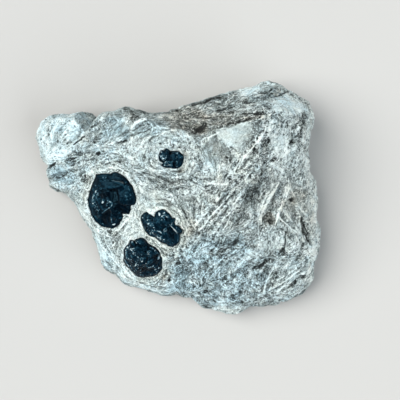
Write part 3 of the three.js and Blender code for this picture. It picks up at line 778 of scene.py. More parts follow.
def notch_cutter():
    out = np.array([*at(*NOTCH_OUT), NOTCH_OUT[2]])
    inn = np.array([*at(*NOTCH_IN), NOTCH_IN[2]])
    line = (inn - out) / np.linalg.norm(inn - out)
    mid = np.array(NOTCH_OPEN, float)
    mid -= line * (mid @ line)
    mid /= np.linalg.norm(mid)
    across = np.cross(line, mid)
    a = math.radians(NOTCH_HALF)
    e1 = mid * math.cos(a) + across * math.sin(a)
    e2 = mid * math.cos(a) - across * math.sin(a)
    corners = []
    for w in (-30, 30):
        for p, q in ((0, 0), (25, 0), (25, 25), (0, 25)):
            corners.append(out + e2 * p + e1 * q + line * w)
    faces = [(0, 3, 2, 1), (4, 5, 6, 7), (0, 1, 5, 4), (1, 2, 6, 5), (2, 3, 7, 6), (3, 0, 4, 7)]
    return new_object("notch_cutter", np.array(corners), faces)


def cut(ob, tool, solver="MANIFOLD"):
    m = ob.modifiers.new("cut", "BOOLEAN")
    m.operation, m.object, m.solver = "DIFFERENCE", tool, solver
    applied(ob)
    bpy.data.objects.remove(tool)



rock = base_matrix()
cut(rock, notch_cutter())
m = rock.modifiers.new("even", "REMESH")
m.mode, m.voxel_size = "VOXEL", 0.28
applied(rock)

P = coords(rock.data)
E = edges_of(rock.data)
N = relax(normals(rock.data), E, 4)
N /= np.linalg.norm(N, axis=1)[:, None]
U, V = chart(P[:, 0], P[:, 1], P[:, 2])
UP = smooth(N[:, 2], 0.0, 0.4)
UPPER = smooth(P[:, 2], 0.2, 2.0)

# Chart positions pushed about a little, so that no mark has a ruled edge.
LOOSE = 0.2 + 0.8 * smooth(N[:, 2], 0.35, 0.8)
WU = U + 1.5 * fbm(P, 4.5, 2, seed=3) + 1.1 * perlin(P / 1.1, 9) * LOOSE
WV = V + (1.5 * fbm(P, 4.5, 2, seed=5) + 1.1 * perlin(P / 1.1, 12)) * LOOSE


RAG = fbm(P, 2.4, 2, seed=6)
RAG2 = perlin(P / 0.8, 15)


def spot(u, v, a, b=None, turn=0, soft=0.45, ragged=0.45):
    """1 inside a ragged ellipse with half-axes a and b, turned counter-clockwise in the chart, 0 well outside it."""
    b = a if b is None else b
    c, s = math.cos(math.radians(turn)), math.sin(math.radians(turn))
    du, dv = WU - u, -(WV - v)
    r = np.sqrt(((du * c + dv * s) / a) ** 2 + ((-du * s + dv * c) / b) ** 2)
    r = r + ragged * RAG + 0.6 * ragged * RAG2 / max(1.0, 0.35 * min(a, b))
    return smooth(-r, -1 - soft, -1 + soft)


def line(points, width, taper=0.0):
    """1 on a line through points, falling off over width; taper narrows it towards its ends."""
    best = np.full(len(WU), 1e9)
    total = sum(math.dist(p, q) for p, q in zip(points, points[1:]))
    run = 0.0
    lo_u, hi_u = min(p[0] for p in points) - 4 * width - 3, max(p[0] for p in points) + 4 * width + 3
    lo_v, hi_v = min(p[1] for p in points) - 4 * width - 3, max(p[1] for p in points) + 4 * width + 3
    near = np.nonzero((WU > lo_u) & (WU < hi_u) & (WV > lo_v) & (WV < hi_v))[0]
    wu, wv = WU[near], WV[near]
    got = np.full(len(near), 1e9)
    for p, q in zip(points, points[1:]):
        du, dv = q[0] - p[0], q[1] - p[1]
        size = math.hypot(du, dv)
        t = np.clip(((wu - p[0]) * du + (wv - p[1]) * dv) / size ** 2, 0, 1)
        d = np.hypot(wu - p[0] - t * du, wv - p[1] - t * dv)
        along = (run + t * size) / total
        w = width * (1 - taper * np.abs(2 * along - 1) ** 1.5) if taper else width
        got = np.minimum(got, d / w)
        run += size
    best[near] = got
    return np.exp(-best ** 2)


def inside(points, soft=1.5):
    """1 inside a chart polygon, fading over soft at its edge."""
    p = np.array(points, float)
    q = np.roll(p, -1, axis=0)
    dist = np.full(len(WU), 1e9)
    odd = np.zeros(len(WU), bool)
    for (au, av), (bu, bv) in zip(p, q):
        du, dv = bu - au, bv - av
        t = np.clip(((WU - au) * du + (WV - av) * dv) / (du * du + dv * dv), 0, 1)
        dist = np.minimum(dist, np.hypot(WU - au - t * du, WV - av - t * dv))
        if av != bv:
            cross = ((av > WV) != (bv > WV)) & (WU < (bu - au) * (WV - av) / (bv - av) + au)
            odd ^= cross
    return smooth(np.where(odd, dist, -dist), -soft, soft)


def streaks(angle, length, width, seed, octaves=2):
    """Ridged noise drawn out along a chart angle (counter-clockwise from the right), 0 to 1."""
    c, s = math.cos(math.radians(angle)), math.sin(math.radians(angle))
    q = np.stack([(P[:, 0] * c + P[:, 1] * s) / length, (-P[:, 0] * s + P[:, 1] * c) / width, P[:, 2] / (width * 2.5)], axis=1)
    bend = 0.5 * perlin(P / 6.0, seed + 40)
    q[:, 1] += bend
    out, amp, total = 0, 1.0, 0
    for k in range(octaves):
        out = out + amp * (1 - np.abs(perlin(q + 5.1 * k, seed + k))) ** 3
        total += amp
        amp *= 0.6
        q = q * 1.9
    return out / total


# ---- zones of the upper surface
crest_v = np.interp(U, [100, 130, 165, 195, 215, 245, 265, 285, 300, 320], [116, 118, 128, 134, 131, 121, 116, 110, 108, 108])
north = smooth(crest_v - WV, -1.0, 3.0) * smooth(WU, 122, 132)
nub = inside([(30, 125), (45, 108), (90, 108), (99, 121), (88, 131), (76, 145), (62, 160), (50, 168), (36, 160)], 3)
dome = inside([(216.5, 131), (226, 128.4), (244.4, 122), (258.8, 119.6), (261, 129), (255.6, 139), (246, 151.5), (239.6, 153), (227, 143.5), (217, 135.6)], 2)
facet = inside([(204, 143), (214, 137), (224, 144), (232, 153), (224, 163), (210, 163), (203, 154)], 2.5)
plate_a = inside([(100, 133), (108, 117), (120, 113), (131, 122), (126, 138), (112, 141)], 3)
plate_b = inside([(131, 127), (141, 121), (151, 118), (168, 124), (172, 129), (160, 133), (140, 138), (131, 136)], 2)
crest = line([(262, 122), (252, 150), (232, 185), (205, 222), (170, 262)], 17)
right = smooth(WU, 246, 262) * smooth(WV, 112, 124) * smooth(-WV, -262, -240)
lower_right = inside([(240, 262), (275, 250), (318, 250), (318, 290), (290, 305), (240, 315), (228, 290)], 6)
low = inside([(165, 258), (205, 232), (245, 240), (245, 300), (205, 312), (168, 296)], 6)
rim_sw = line([(55, 190), (80, 213), (97, 245), (104, 268), (122, 282), (150, 290), (172, 293)], 7)
tear_uv = {}
ring = np.full(len(P), 1e9)
rings = []
for name, spec in TEARS.items():
    uv = np.array(spec["outline"], float)
    got = np.full(len(P), 1e9)
    for (au, av), (bu, bv) in zip(uv, np.roll(uv, -1, axis=0)):
        du, dv = bu - au, bv - av
        t = np.clip(((U - au) * du + (V - av) * dv) / (du * du + dv * dv), 0, 1)
        got = np.minimum(got, np.hypot(U - au - t * du, V - av - t * dv))
    rings.append(got)
    ring = np.minimum(ring, got)
small_ring = rings[3]
around = np.clip(np.exp(-(np.minimum.reduce(rings[:3]) / 17) ** 2) * smooth(-WU, -205, -180) + 0.0, 0, 1)
left = smooth(-WU, -135, -105) * (1 - nub)

calm = np.clip(0.85 * dome + 0.6 * facet + 0.5 * plate_a + 0.6 * plate_b + 0.45 * nub * spot(62, 128, 20) + 0.35 * around, 0, 1)
wild = np.clip(0.35 + 0.55 * crest + 0.4 * right + 0.25 * lower_right + 0.2 * low + 0.15 * left - 0.9 * calm, 0.06, 1.3)
wild = wild * UP + 0.75 * (1 - UP)
near_tear = smooth(-ring, -2.0, -0.5)
edge = np.full(len(P), 1e9)
for (au, av), (bu, bv) in zip(OUTLINE, OUTLINE[1:] + OUTLINE[:1]):
    du, dv = bu - au, bv - av
    t = np.clip(((U - au) * du + (V - av) * dv) / (du * du + dv * dv), 0, 1)
    edge = np.minimum(edge, np.hypot(U - au - t * du, V - av - t * dv))
# Steps across the sheets that wrap the nodules and follow the near edge.
wrap = np.minimum(ring, edge + 2.0) + 3.0 * fbm(P, 4.2, 3, 0.6, seed=131)
w_wrap = np.clip(1.15 * np.exp(-(np.minimum.reduce(rings[:3]) / 15) ** 2) + 0.35 * np.exp(-(small_ring / 13) ** 2) + 0.8 * rim_sw, 0, 1)
w_wrap *= 1 - 0.5 * np.clip(low, 0, 1)
west = np.clip(smooth(-WU, -150, -112) + 0.8 * plate_b + 0.4 * nub, 0, 1) * (1 - np.exp(-(np.minimum.reduce(rings[:3]) / 12) ** 2))
w_swirl = np.clip(0.35 + 0.65 * west - 0.35 * nub - 0.5 * low - 0.3 * crest, 0, 1) * (1 - 0.75 * w_wrap)
fair = inside([(263, 178), (292, 180), (304, 196), (313, 214), (314, 242), (298, 246), (280, 232), (256, 228), (258, 204)], 4)
w_chip = np.clip(0.30 + 0.40 * low + 0.30 * right + 0.30 * lower_right + 0.2 * crest - 0.40 * west - 0.9 * dome - 0.3 * nub - 0.4 * w_wrap, 0, 1)
w_chip *= (1 - 0.75 * fair) * (1 - 0.65 * north)
wild = wild * (1 - 0.6 * fair) * (1 - 0.35 * np.clip(low, 0, 1))

# ---- strands: noise drawn out along guide lines, which were laid along strands that can be seen
GUIDES = [
    [(40, 160), (37, 142), (42, 124), (55, 113), (72, 110), (88, 112)], [(49, 148), (57, 132), (70, 122), (84, 117)], [(60, 158), (76, 150), (86, 138), (98, 122)],
    [(46, 164), (60, 160), (78, 156), (94, 156)], [(50, 178), (66, 174), (86, 168), (104, 164)], [(84, 146), (92, 132), (104, 116)],
    [(100, 144), (114, 133), (126, 118)], [(104, 152), (118, 146), (130, 136)], [(112, 112), (124, 110), (134, 122)],
    [(128, 128), (140, 121), (154, 118), (168, 123), (182, 131)], [(134, 140), (148, 133), (160, 127)],
    [(92, 157), (112, 158), (128, 163), (142, 171), (152, 180)], [(150, 128), (137, 139), (132, 152), (136, 167), (150, 179), (166, 184)],
    [(188, 134), (196, 148), (194, 168), (184, 181)], [(150, 172), (168, 178), (190, 179), (214, 184)], [(152, 186), (166, 190), (180, 192), (196, 190)],
    [(172, 186), (177, 200), (184, 213), (192, 226)], [(192, 208), (193, 198), (202, 190), (213, 185)], [(203, 210), (213, 208), (219, 200), (216, 191)],
    [(203, 142), (206, 158), (212, 176)], [(217, 133), (222, 150), (224, 168)], [(214, 136), (228, 129), (246, 122), (258, 119)], [(225, 143), (236, 152), (246, 151)],
    [(263, 126), (251, 150), (235, 178), (215, 206), (195, 234), (178, 258)], [(272, 118), (263, 136), (256, 152), (245, 172)], [(246, 186), (230, 210), (212, 234), (194, 256)],
    [(302, 108), (296, 130), (289, 152), (281, 176), (271, 200), (262, 222)], [(309, 124), (303, 146), (297, 168)], [(287, 178), (281, 196), (276, 220)],
    [(284, 132), (276, 146), (270, 160)], [(296, 196), (301, 212), (305, 227), (309, 242)], [(275, 212), (286, 223), (296, 233), (302, 244)],
    [(310, 160), (316, 182), (318, 208), (319, 236), (315, 262), (309, 282)], [(286, 234), (284, 248), (278, 256)],
    [(205, 264), (220, 249), (236, 236), (252, 228)], [(214, 288), (232, 270), (250, 255), (266, 243)], [(250, 292), (270, 270), (288, 256), (304, 248)],
    [(262, 300), (284, 289), (304, 276)], [(262, 266), (259, 278), (261, 290)], [(236, 300), (244, 284), (252, 270)],
    [(170, 264), (178, 260), (188, 266), (192, 278), (186, 290)], [(180, 294), (200, 298), (220, 303), (240, 309), (256, 302)], [(196, 270), (204, 282), (214, 292)],
    [(78, 196), (84, 222), (95, 250), (108, 270), (125, 285), (148, 292), (170, 293)], [(134, 214), (146, 226), (160, 238), (172, 252)],
    [(128, 226), (124, 236), (116, 244)], [(174, 254), (167, 270), (158, 284)], [(186, 228), (184, 240), (178, 252)],
    [(182, 114), (205, 106), (230, 98), (256, 90), (280, 88)], [(196, 124), (225, 119), (250, 114), (268, 112)], [(214, 112), (236, 106), (258, 100), (276, 94)],
    [(160, 116), (178, 112), (192, 107)], [(166, 122), (182, 124), (198, 131)], [(268, 90), (286, 93), (301, 103), (309, 116)], [(272, 106), (286, 102), (298, 106)],
]


def bilinear(grid, x, y):
    x = np.clip(x, 0, grid.shape[1] - 1.001)
    y = np.clip(y, 0, grid.shape[0] - 1.001)
    i, j = x.astype(int), y.astype(int)
    fx, fy = x - i, y - j
    return (grid[j, i] * (1 - fx) + grid[j, i + 1] * fx) * (1 - fy) + (grid[j + 1, i] * (1 - fx) + grid[j + 1, i + 1] * fx) * fy


def blurred(grid, size):
    ky = np.fft.fftfreq(grid.shape[0])[:, None]
    kx = np.fft.rfftfreq(grid.shape[1])[None]
    return np.fft.irfft2(np.fft.rfft2(grid) * np.exp(-2 * (math.pi * size) ** 2 * (kx ** 2 + ky ** 2)), grid.shape)


def heading():
    """Twice the angle of the strands over the chart, as a cosine and a sine, one value every 2 px."""
    gu, gv = np.meshgrid(np.arange(200) * 2.0 + 1, np.arange(200) * 2.0 + 1)
    c2, s2 = np.zeros(gu.shape), np.zeros(gu.shape)
    for points in GUIDES:
        for (au, av), (bu, bv) in zip(points, points[1:]):
            turn = 2 * math.atan2(bv - av, bu - au)
            many = int(math.dist((au, av), (bu, bv)) / 5) + 1
            for k in range(many):
                t = (k + 0.5) / many
                r2 = (gu - au - t * (bu - au)) ** 2 + (gv - av - t * (bv - av)) ** 2
                w = np.exp(-r2 / 80) + 0.02 * np.exp(-r2 / 1600)
                c2 += w * math.cos(turn)
                s2 += w * math.sin(turn)
    for name, spec in TEARS.items():
        uv = np.array(spec["outline"], float)
        got = np.full(gu.shape, 1e9)
        for (au, av), (bu, bv) in zip(uv, np.roll(uv, -1, axis=0)):
            du, dv = bu - au, bv - av
            t = np.clip(((gu - au) * du + (gv - av) * dv) / (du * du + dv * dv), 0, 1)
            got = np.minimum(got, np.hypot(gu - au - t * du, gv - av - t * dv))
        down, across = np.gradient(blurred(got, 1.5))
        turn = 2 * np.arctan2(across, -down)
        w = (0.8 if name == "apache_tear_small" else 3) * np.exp(-(got / 9) ** 2)
        c2 += w * np.cos(turn)
        s2 += w * np.sin(turn)
    q = np.stack([gu.ravel(), gv.ravel(), 0 * gu.ravel()], axis=1)
    turn = np.arctan2(s2, c2) + (1.3 * perlin(q / 13.0, 211) + 1.1 * perlin(q / 5.5, 212)).reshape(gu.shape)
    return np.cos(turn), np.sin(turn)


def drawn(side_cells, grain_size, reach, seed):
    """Noise on a square grid over the chart, averaged along the strands over reach cells either way; mean 0, deviation 1."""
    per = side_cells / 400
    k = (np.arange(side_cells) + 0.5) / per
    x, y = np.meshgrid((k - 1) / 2, (k - 1) / 2)
    turn = 0.5 * np.arctan2(bilinear(HEADING[1], x, y), bilinear(HEADING[0], x, y))
    dx, dy = np.cos(turn).astype(np.float32), np.sin(turn).astype(np.float32)
    grain = blurred(np.random.RandomState(seed).randn(side_cells, side_cells), grain_size).astype(np.float32)
    gy, gx = np.mgrid[0:side_cells, 0:side_cells].astype(np.float32)
    total = grain.copy()
    for sense in (1, -1):
        x, y, px, py = gx + 0.5, gy + 0.5, sense * dx, sense * dy
        for n in range(1, reach + 1):
            x, y = x + px, y + py
            i, j = np.clip(x, 0, side_cells - 1).astype(int), np.clip(y, 0, side_cells - 1).astype(int)
            nx, ny = dx[j, i], dy[j, i]
            flip = np.where(nx * px + ny * py < 0, np.float32(-1), np.float32(1))
            px, py = nx * flip, ny * flip
            total += (1 - n / (reach + 1)) * grain[j, i]
    return (total - total.mean()) / total.std()


HEADING = heading()
broad_strand = bilinear(drawn(400, 1.5, 17, 221), U - 0.5, V - 0.5)
thin_strand = bilinear(drawn(800, 1.15, 16, 222), 2 * U - 0.5, 2 * V - 0.5)
wide_strand = bilinear(drawn(200, 1.7, 15, 223), 0.5 * U - 0.5, 0.5 * V - 0.5)
w_flow = np.clip(1.0 - 0.85 * dome - 0.5 * facet - 0.35 * fair - 0.35 * plate_a - 0.3 * plate_b - 0.4 * spot(181, 276, 8, 11), 0.1, 1) * UP

# ---- relief, in millimetres along the normal
warp = P + 0.9 * np.stack([perlin(P / 3.1, 21), perlin(P / 3.1, 22), perlin(P / 3.1, 23)], axis=1)
H = 0.55 * fbm(P, 9.0, 3, seed=1) * (0.45 + 0.55 * wild)
f1, f2, cid = cells(warp * (1, 1, 1.3), 5.5, 2)
H += (0.42 * (0.8 - f1 ** 2) + 0.25 * (cid - 0.5) - 0.25 * np.exp(-((f2 - f1) / 0.08) ** 2)) * (wild - 0.06)
f1b, f2b, cidb = cells(warp * (1, 1, 1.2), 2.1, 5)
H += (0.16 * (0.7 - f1b ** 2) + 0.08 * (cidb - 0.5)) * wild * (1 - 0.5 * np.clip(low, 0, 1))
H += 0.34 * (ridged(warp, 2.6, 3, seed=31) - 0.55) * wild
H += 0.06 * fbm(P, 0.9, 2, seed=51) * (0.35 + wild)
under = smooth(-N[:, 2], 0.25, 0.65)
lean9, _, _ = facets(warp, 9.5, 47)
widest = side(np.arctan2(P[:, 1] - CORE[1], P[:, 0] - CORE[0]), 0)
part = np.clip(P[:, 2] / np.maximum(widest, 1), 0, 1)
H += (9.5 * 0.16 * lean9 + 2.2 * 4 * part * (1 - part)) * under
lean, gap, chip_id = facets(warp, 3.6, 41)
still = np.clip(low + 0.8 * lower_right, 0, 1)
H += 3.6 * 0.17 * lean * (0.15 + 0.85 * w_chip) * (1 - 0.4 * still) * (1 - 0.8 * dome) * UP
lean2, gap2, chip_id2 = facets(warp, 1.7, 43)
H += 1.7 * 0.19 * lean2 * (0.25 + 0.75 * w_chip) * (1 - 0.4 * still) * (1 - 0.85 * dome) * UP
lift = layers(wrap / 4.4 + 0.5 * perlin(P / 2.6, 137))
H += 0.13 * (lift - 0.5) * w_wrap
swirl = 3.4 * fbm(P, 7.5, 2, seed=141) + 0.25 * perlin(P / 1.6, 144)
H += 0.16 * (layers(swirl * 1.1) - 0.5) * w_swirl
H += (0.28 * wide_strand + 0.20 * broad_strand + 0.075 * thin_strand) * w_flow
s_crest = streaks(52, 7.0, 0.75, 61)
s_north = streaks(14, 9.0, 0.9, 65)
dip = P[:, 2] + 0.10 * P[:, 0] - 0.06 * P[:, 1] + 1.4 * perlin(P / 14.0, 66) + 0.5 * perlin(P / 4.0, 67)
bands = ridged(np.stack([P[:, 0] / 9.0, P[:, 1] / 9.0, dip / 1.5], axis=1), 1.0, 2, seed=68)
thick = ridged(np.stack([P[:, 0] / 16.0, P[:, 1] / 16.0, dip / 4.2], axis=1), 1.0, 2, seed=71)
steep = smooth(-N[:, 2], -0.55, -0.2) * smooth(N[:, 2], -0.9, -0.4)
s_low = streaks(31, 6.0, 0.8, 69)
s_left = streaks(18, 4.0, 0.8, 73)
s_brown = streaks(-46, 5.0, 0.8, 77)
brown_zone = inside([(160, 116), (176, 111), (192, 106), (205, 112), (208, 124), (206, 135), (192, 134), (172, 130)], 3)
fibre = (crest * 1.0 + 0.45 * right) * s_crest + north * (1 - brown_zone) * 0.6 * s_north + lower_right * 0.8 * s_low \
    + 0.45 * left * s_left + brown_zone * 0.6 * s_brown + 0.4 * low * s_low
H += steep * (0.75 * (thick - 0.55) + 0.40 * (bands - 0.5)) * (0.5 + 0.5 * smooth(P[:, 2], 1.0, 5.0))
H += (1 - UP) * (0.7 * fbm(P, 7.0, 2, seed=91))
H += 0.30 * (fibre - 0.4 * (crest + north + lower_right)) * UP * (1 - 0.8 * calm)
pit1, _, pid = cells(warp, 1.7, 8)
pit1 = pit1 + 0.16 * perlin(P / 0.75, 14) + 0.08
pits = smooth(-pit1, -0.44, -0.22) * (pid < 0.12 + 0.30 * crest + 0.22 * right * (1 - low) + 0.02 * low + 0.14 * nub + 0.1 * left) * (1 - 0.85 * dome) * (1 - near_tear) * (1 - 0.8 * fair)
H -= 0.45 * pits * (0.4 + 0.6 * np.clip(wild, 0, 1))
grain1, _, gid = cells(warp, 1.15, 19)
grain1 = grain1 + 0.2 * perlin(P / 0.6, 16)
flecks = smooth(-grain1, -0.38, -0.12) * (gid > 0.80 - 0.22 * crest - 0.12 * right - 0.1 * lower_right - 0.28 * low) * (1 - 0.8 * calm)
H += 0.14 * flecks

TONE = np.zeros(len(P))
BROWN = np.zeros(len(P))
CREAM = np.zeros(len(P))
BLUE = np.zeros(len(P))


WALL = 1 - smooth(N[:, 2], 0.3, 0.65)
BROKEN = 1 - WALL * (0.08 + 0.40 * smooth(perlin(P / (2.4, 2.4, 1.0), 205) + 0.5 * perlin(P / 0.8, 206), -0.2, 0.2))


# Many marks below both sink the surface and darken its tone; in cracks, grooves and pits that darkening is painted
# shade.
def mark(mask, dz=0.0, tone=0.0, brown=0.0, cream=0.0, blue=0.0, deep=True):
    global H, TONE, BROWN, CREAM, BLUE
    mask = mask * (UP if deep else smooth(N[:, 2], -0.1, 0.15))
    if dz:
        H = H + dz * mask * BROKEN
    if tone:
        TONE = TONE + tone * mask * BROKEN
    if brown:
        BROWN = BROWN + brown * mask
    if cream:
        CREAM = CREAM + cream * mask
    if blue:
        BLUE = BLUE + blue * mask


# ---- nub
mark(nub, tone=0.21, blue=0.1)
mark(spot(61, 128, 15, 13, 20), dz=0.35, tone=0.10)
mark(line([(80, 116), (84, 124), (80, 132), (77, 138)], 2.6), dz=-0.35, tone=-0.10, blue=0.25)
# Dark crack: painted shade, with the surface sunk.
mark(line([(84.5, 136), (79, 141), (74, 145)], 1.1, 0.5), dz=-0.9, tone=-0.75)
mark(line([(83, 139.5), (78, 144)], 0.9), dz=0.15, tone=0.2)
# The notch face, turned from the light, and its edge line: painted shade.
mark(inside([(88.5, 113), (98.4, 122), (90.5, 128.5), (91.5, 121)], 1.0), tone=-0.22, brown=0.15)
mark(line([(98.5, 122), (90, 129.5)], 1.4), dz=-0.3, tone=-0.45)
# Dark pits: painted shade, with the surface sunk.
for u, v, r, d in [(76, 115.6, 1.2, 1), (54.7, 118, 1.3, 1), (50, 123, 1.4, 1), (48.5, 131, 1.2, 1), (47.8, 135.5, 1.2, 1), (40.3, 139.8, 1.2, 1),
                   (61, 130, 1.1, .7), (56.4, 142, 1.5, 1), (65, 140, 1.4, .9), (60, 148, 1.3, .9), (43, 147, 1.2, .9), (45, 128, 1, .7),
                   (70, 121, 1, .6), (66, 134.5, 1, .7), (52, 152.5, 1.2, .8), (73, 128, 1.6, .6), (90, 139, 1.3, .9), (71, 143, 1, .7)]:
    mark(spot(u, v, r, r * 0.8, 40 * d, 0.6), dz=-0.3 * d, tone=-0.34 * d)
# Dark crack: painted shade, with the surface sunk.
mark(line([(49, 168.8), (56, 162.8)], 1.7, 0.4), dz=-0.7, tone=-0.75)
mark(line([(39, 137), (44, 150), (49, 161)], 2.4), tone=0.12)
# ---- left part under the nub
mark(spot(62, 176, 13, 9, -20), tone=-0.10, blue=0.75)
mark(spot(74, 158, 9, 6, 30), tone=-0.22)
mark(line([(70, 161), (82, 154), (90, 152)], 2.2), dz=-0.35, tone=-0.26)
mark(spot(98.4, 153.4, 2.6, 1.9, 20), dz=-0.9, tone=-0.75)
mark(line([(98, 155), (92, 154.5)], 1.0), dz=-0.3, tone=-0.35)
mark(spot(84.5, 178, 4.5, 5.5, 30), dz=-0.4, tone=-0.24, brown=0.35)
mark(spot(82, 181, 1.8), dz=-0.4, tone=-0.3)
mark(spot(101, 140, 6, 4, 20), tone=-0.12)
mark(line([(118, 142.5), (126, 140)], 1.5), dz=-0.35, tone=-0.35)
mark(line([(118, 136), (130, 130)], 1.6), dz=-0.3, tone=-0.25)
mark(spot(112, 152, 3, 2), dz=-0.3, tone=-0.3)
mark(line([(92, 165), (104, 160), (116, 163), (126, 168)], 1.6), dz=0.25, tone=0.12)
mark(line([(60, 160), (72, 168), (86, 170)], 1.4), dz=0.2, tone=0.12)
mark(spot(104, 166, 8, 4, 10), tone=-0.14)
mark(spot(125, 158, 5, 3, 0), tone=-0.12)
# ---- plates along the far edge
mark(plate_a, tone=0.02, blue=0.45)
mark(plate_b, tone=0.06, blue=0.5)
mark(spot(142, 127, 6, 4, 10), tone=-0.14, blue=0.3)
mark(line([(131, 128), (136, 123.5), (141, 120.6), (150, 117.6)], 1.0), dz=0.35, tone=0.36)
mark(line([(110, 139), (117, 133), (119, 124), (125, 118)], 1.2), dz=0.2, tone=0.12)
mark(line([(131, 136), (146, 131), (156, 126)], 1.0), dz=-0.3, tone=-0.28)
mark(inside([(127, 107), (139, 110), (141, 118), (132, 122)], 1.5), tone=-0.16, brown=0.35)
mark(spot(125.5, 107.8, 2.8, 1.3, -15), dz=-0.5, tone=-0.85)
mark(line([(141, 111.4), (144.5, 113.5), (148, 114.8)], 1.4, 0.3), dz=-0.6, tone=-0.9)
mark(spot(135, 118, 3), tone=-0.18)
mark(line([(100, 120), (108, 113)], 1.2), dz=0.2, tone=0.25)
# ---- round the small tear
mark(spot(156, 153, 30, 22, 10, 0.6), tone=0.03, blue=0.3)
shell = small_ring + 1.1 * fbm(P, 3.2, 2, seed=36)
arc = smooth(U, 168, 178) * smooth(V, 148, 153)
mark(np.exp(-((shell - 2.4) / 1.5) ** 2) * arc, dz=-0.25, tone=-0.10, brown=0.55)
mark(np.exp(-((shell - 5.0) / 1.0) ** 2) * arc, dz=0.22, tone=0.12, cream=0.6)
mark(np.exp(-((shell - 7.4) / 0.9) ** 2) * arc * smooth(RAG, -0.25, 0.15), dz=-0.18, tone=-0.13)
mark(np.exp(-((shell - 9.2) / 1.0) ** 2) * smooth(U, 160, 172) * smooth(V, 150, 158), dz=0.2, tone=0.13)
mark(np.exp(-((shell - 13.0) / 1.2) ** 2) * smooth(U, 155, 182) * smooth(RAG, -0.3, 0.1), dz=0.15, tone=0.08)
mark(np.exp(-((shell - 2.0) / 1.6) ** 2), tone=0.12)
for u, v in [(160.3, 143.6), (173, 145.5), (180, 147.6), (189.5, 143.5), (166, 138), (196.5, 179), (152, 166), (148, 149), (145, 158), (190, 160), (192, 168)]:
    mark(spot(u, v, 1.3, 1.1, 0, 0.6), dz=-0.35, tone=-0.45)
mark(spot(150, 158, 9, 14, -10), tone=0.04, cream=0.15)
mark(spot(181, 171, 3.5, 2.5, 30), tone=-0.2, brown=0.6)
mark(line([(134, 140), (138, 150), (136, 165)], 2.2), tone=0.10)
# ---- brown zone and its pit
mark(brown_zone, tone=-0.30, brown=0.85)
mark(line([(160, 116), (175, 119), (190, 128)], 1.2), dz=0.3, tone=0.14, cream=0.2)
mark(line([(176, 110), (186, 118), (196, 124)], 1.2), dz=-0.4, tone=-0.26)
mark(line([(181, 108), (192, 117)], 1.0), dz=0.25, tone=0.16)
mark(line([(170, 115), (178, 122), (183, 130)], 1.1), dz=-0.35, tone=-0.22)
mark(spot(200.5, 128.5, 6.0, 3.6, 25), dz=-0.7, tone=-0.22, brown=0.35)
mark(line([(194, 131.5), (201, 127), (206, 123.5)], 1.5, 0.4), dz=-0.5, tone=-0.4)
mark(line([(188, 133), (194, 126), (203, 121.5), (210, 121)], 0.9), dz=0.3, tone=0.24)
# ---- steep far face
mark(north * (1 - brown_zone), tone=-0.04, brown=0.15)
mark(north * (1 - brown_zone) * smooth(-WU, -246, -226), tone=-0.16)
mark(inside([(198, 114), (226, 112), (262, 113), (262, 119), (240, 124), (208, 127)], 2.5), tone=0.03, brown=0.35)
mark(inside([(214, 98), (236, 93), (240, 101), (234, 108), (216, 111)], 2.5), dz=-0.25, tone=-0.14, blue=0.1)
# Dark cracks across the steep far face: painted shade, with the surface sunk.
mark(line([(192, 105.5), (203, 103.5), (211, 99.5), (219, 97.5)], 1.3, 0.3), dz=-0.6, tone=-0.7, deep=False)
mark(line([(216.5, 111.6), (226, 109.8), (235.8, 105.6)], 1.3, 0.5), dz=-0.6, tone=-1.0, deep=False)
mark(line([(228, 112.6), (243, 113.6), (254, 113.8)], 0.9), dz=-0.45, tone=-0.5, deep=False)
mark(line([(254, 113.8), (266, 113.8)], 1.3, 0.4), dz=-0.6, tone=-1.0, deep=False)
mark(line([(258, 93.6), (266, 92.2), (272.5, 89.8)], 0.9, 0.5), dz=-0.6, tone=-0.9, deep=False)
mark(line([(271, 97.2), (280, 95.2), (288, 91.8)], 1.0, 0.5), dz=-0.6, tone=-0.9, deep=False)
mark(line([(262, 99), (270, 94.6)], 1.0, 0.3), dz=-0.6, tone=-0.5, deep=False)
mark(spot(277, 92.5, 4.5, 2.4, 20), tone=0.10, brown=0.9, deep=False)
mark(line([(243, 103.2), (254, 101.3)], 1.1, 0.3), dz=-0.4, tone=-0.6, deep=False)
mark(line([(241, 107.4), (251, 106.9)], 0.9, 0.3), dz=-0.35, tone=-0.5, deep=False)
mark(line([(250, 107.2), (256.5, 105.8)], 0.9, 0.3), dz=-0.35, tone=-0.5, deep=False)
mark(line([(197, 118), (222, 116), (252, 118.5), (262, 117)], 1.0), dz=-0.35, tone=-0.2, brown=0.3)
mark(line([(203, 121), (228, 119.5), (248, 117)], 0.9), dz=0.25, tone=0.14)
mark(line([(210, 124.5), (236, 122.5), (252, 119.5)], 1.0), dz=-0.3, tone=-0.2, brown=0.2)
mark(line([(196, 112.5), (216, 113.5), (234, 112)], 0.9), dz=0.25, tone=0.12)
mark(inside([(236, 92), (255, 84), (268, 80), (276, 84), (262, 90), (246, 98)], 2), tone=0.40, blue=0.25, deep=False)
mark(inside([(268, 101), (285, 95), (300, 99), (306, 110), (296, 114), (274, 114)], 3), tone=0.52, blue=0.15, deep=False)
mark(line([(262, 117), (275, 110), (290, 108), (301, 111)], 1.3), dz=0.4, tone=0.3, cream=0.1)
mark(spot(273, 112.5, 2.6, 0.9, 0), dz=-0.3, tone=-0.45, brown=0.4)
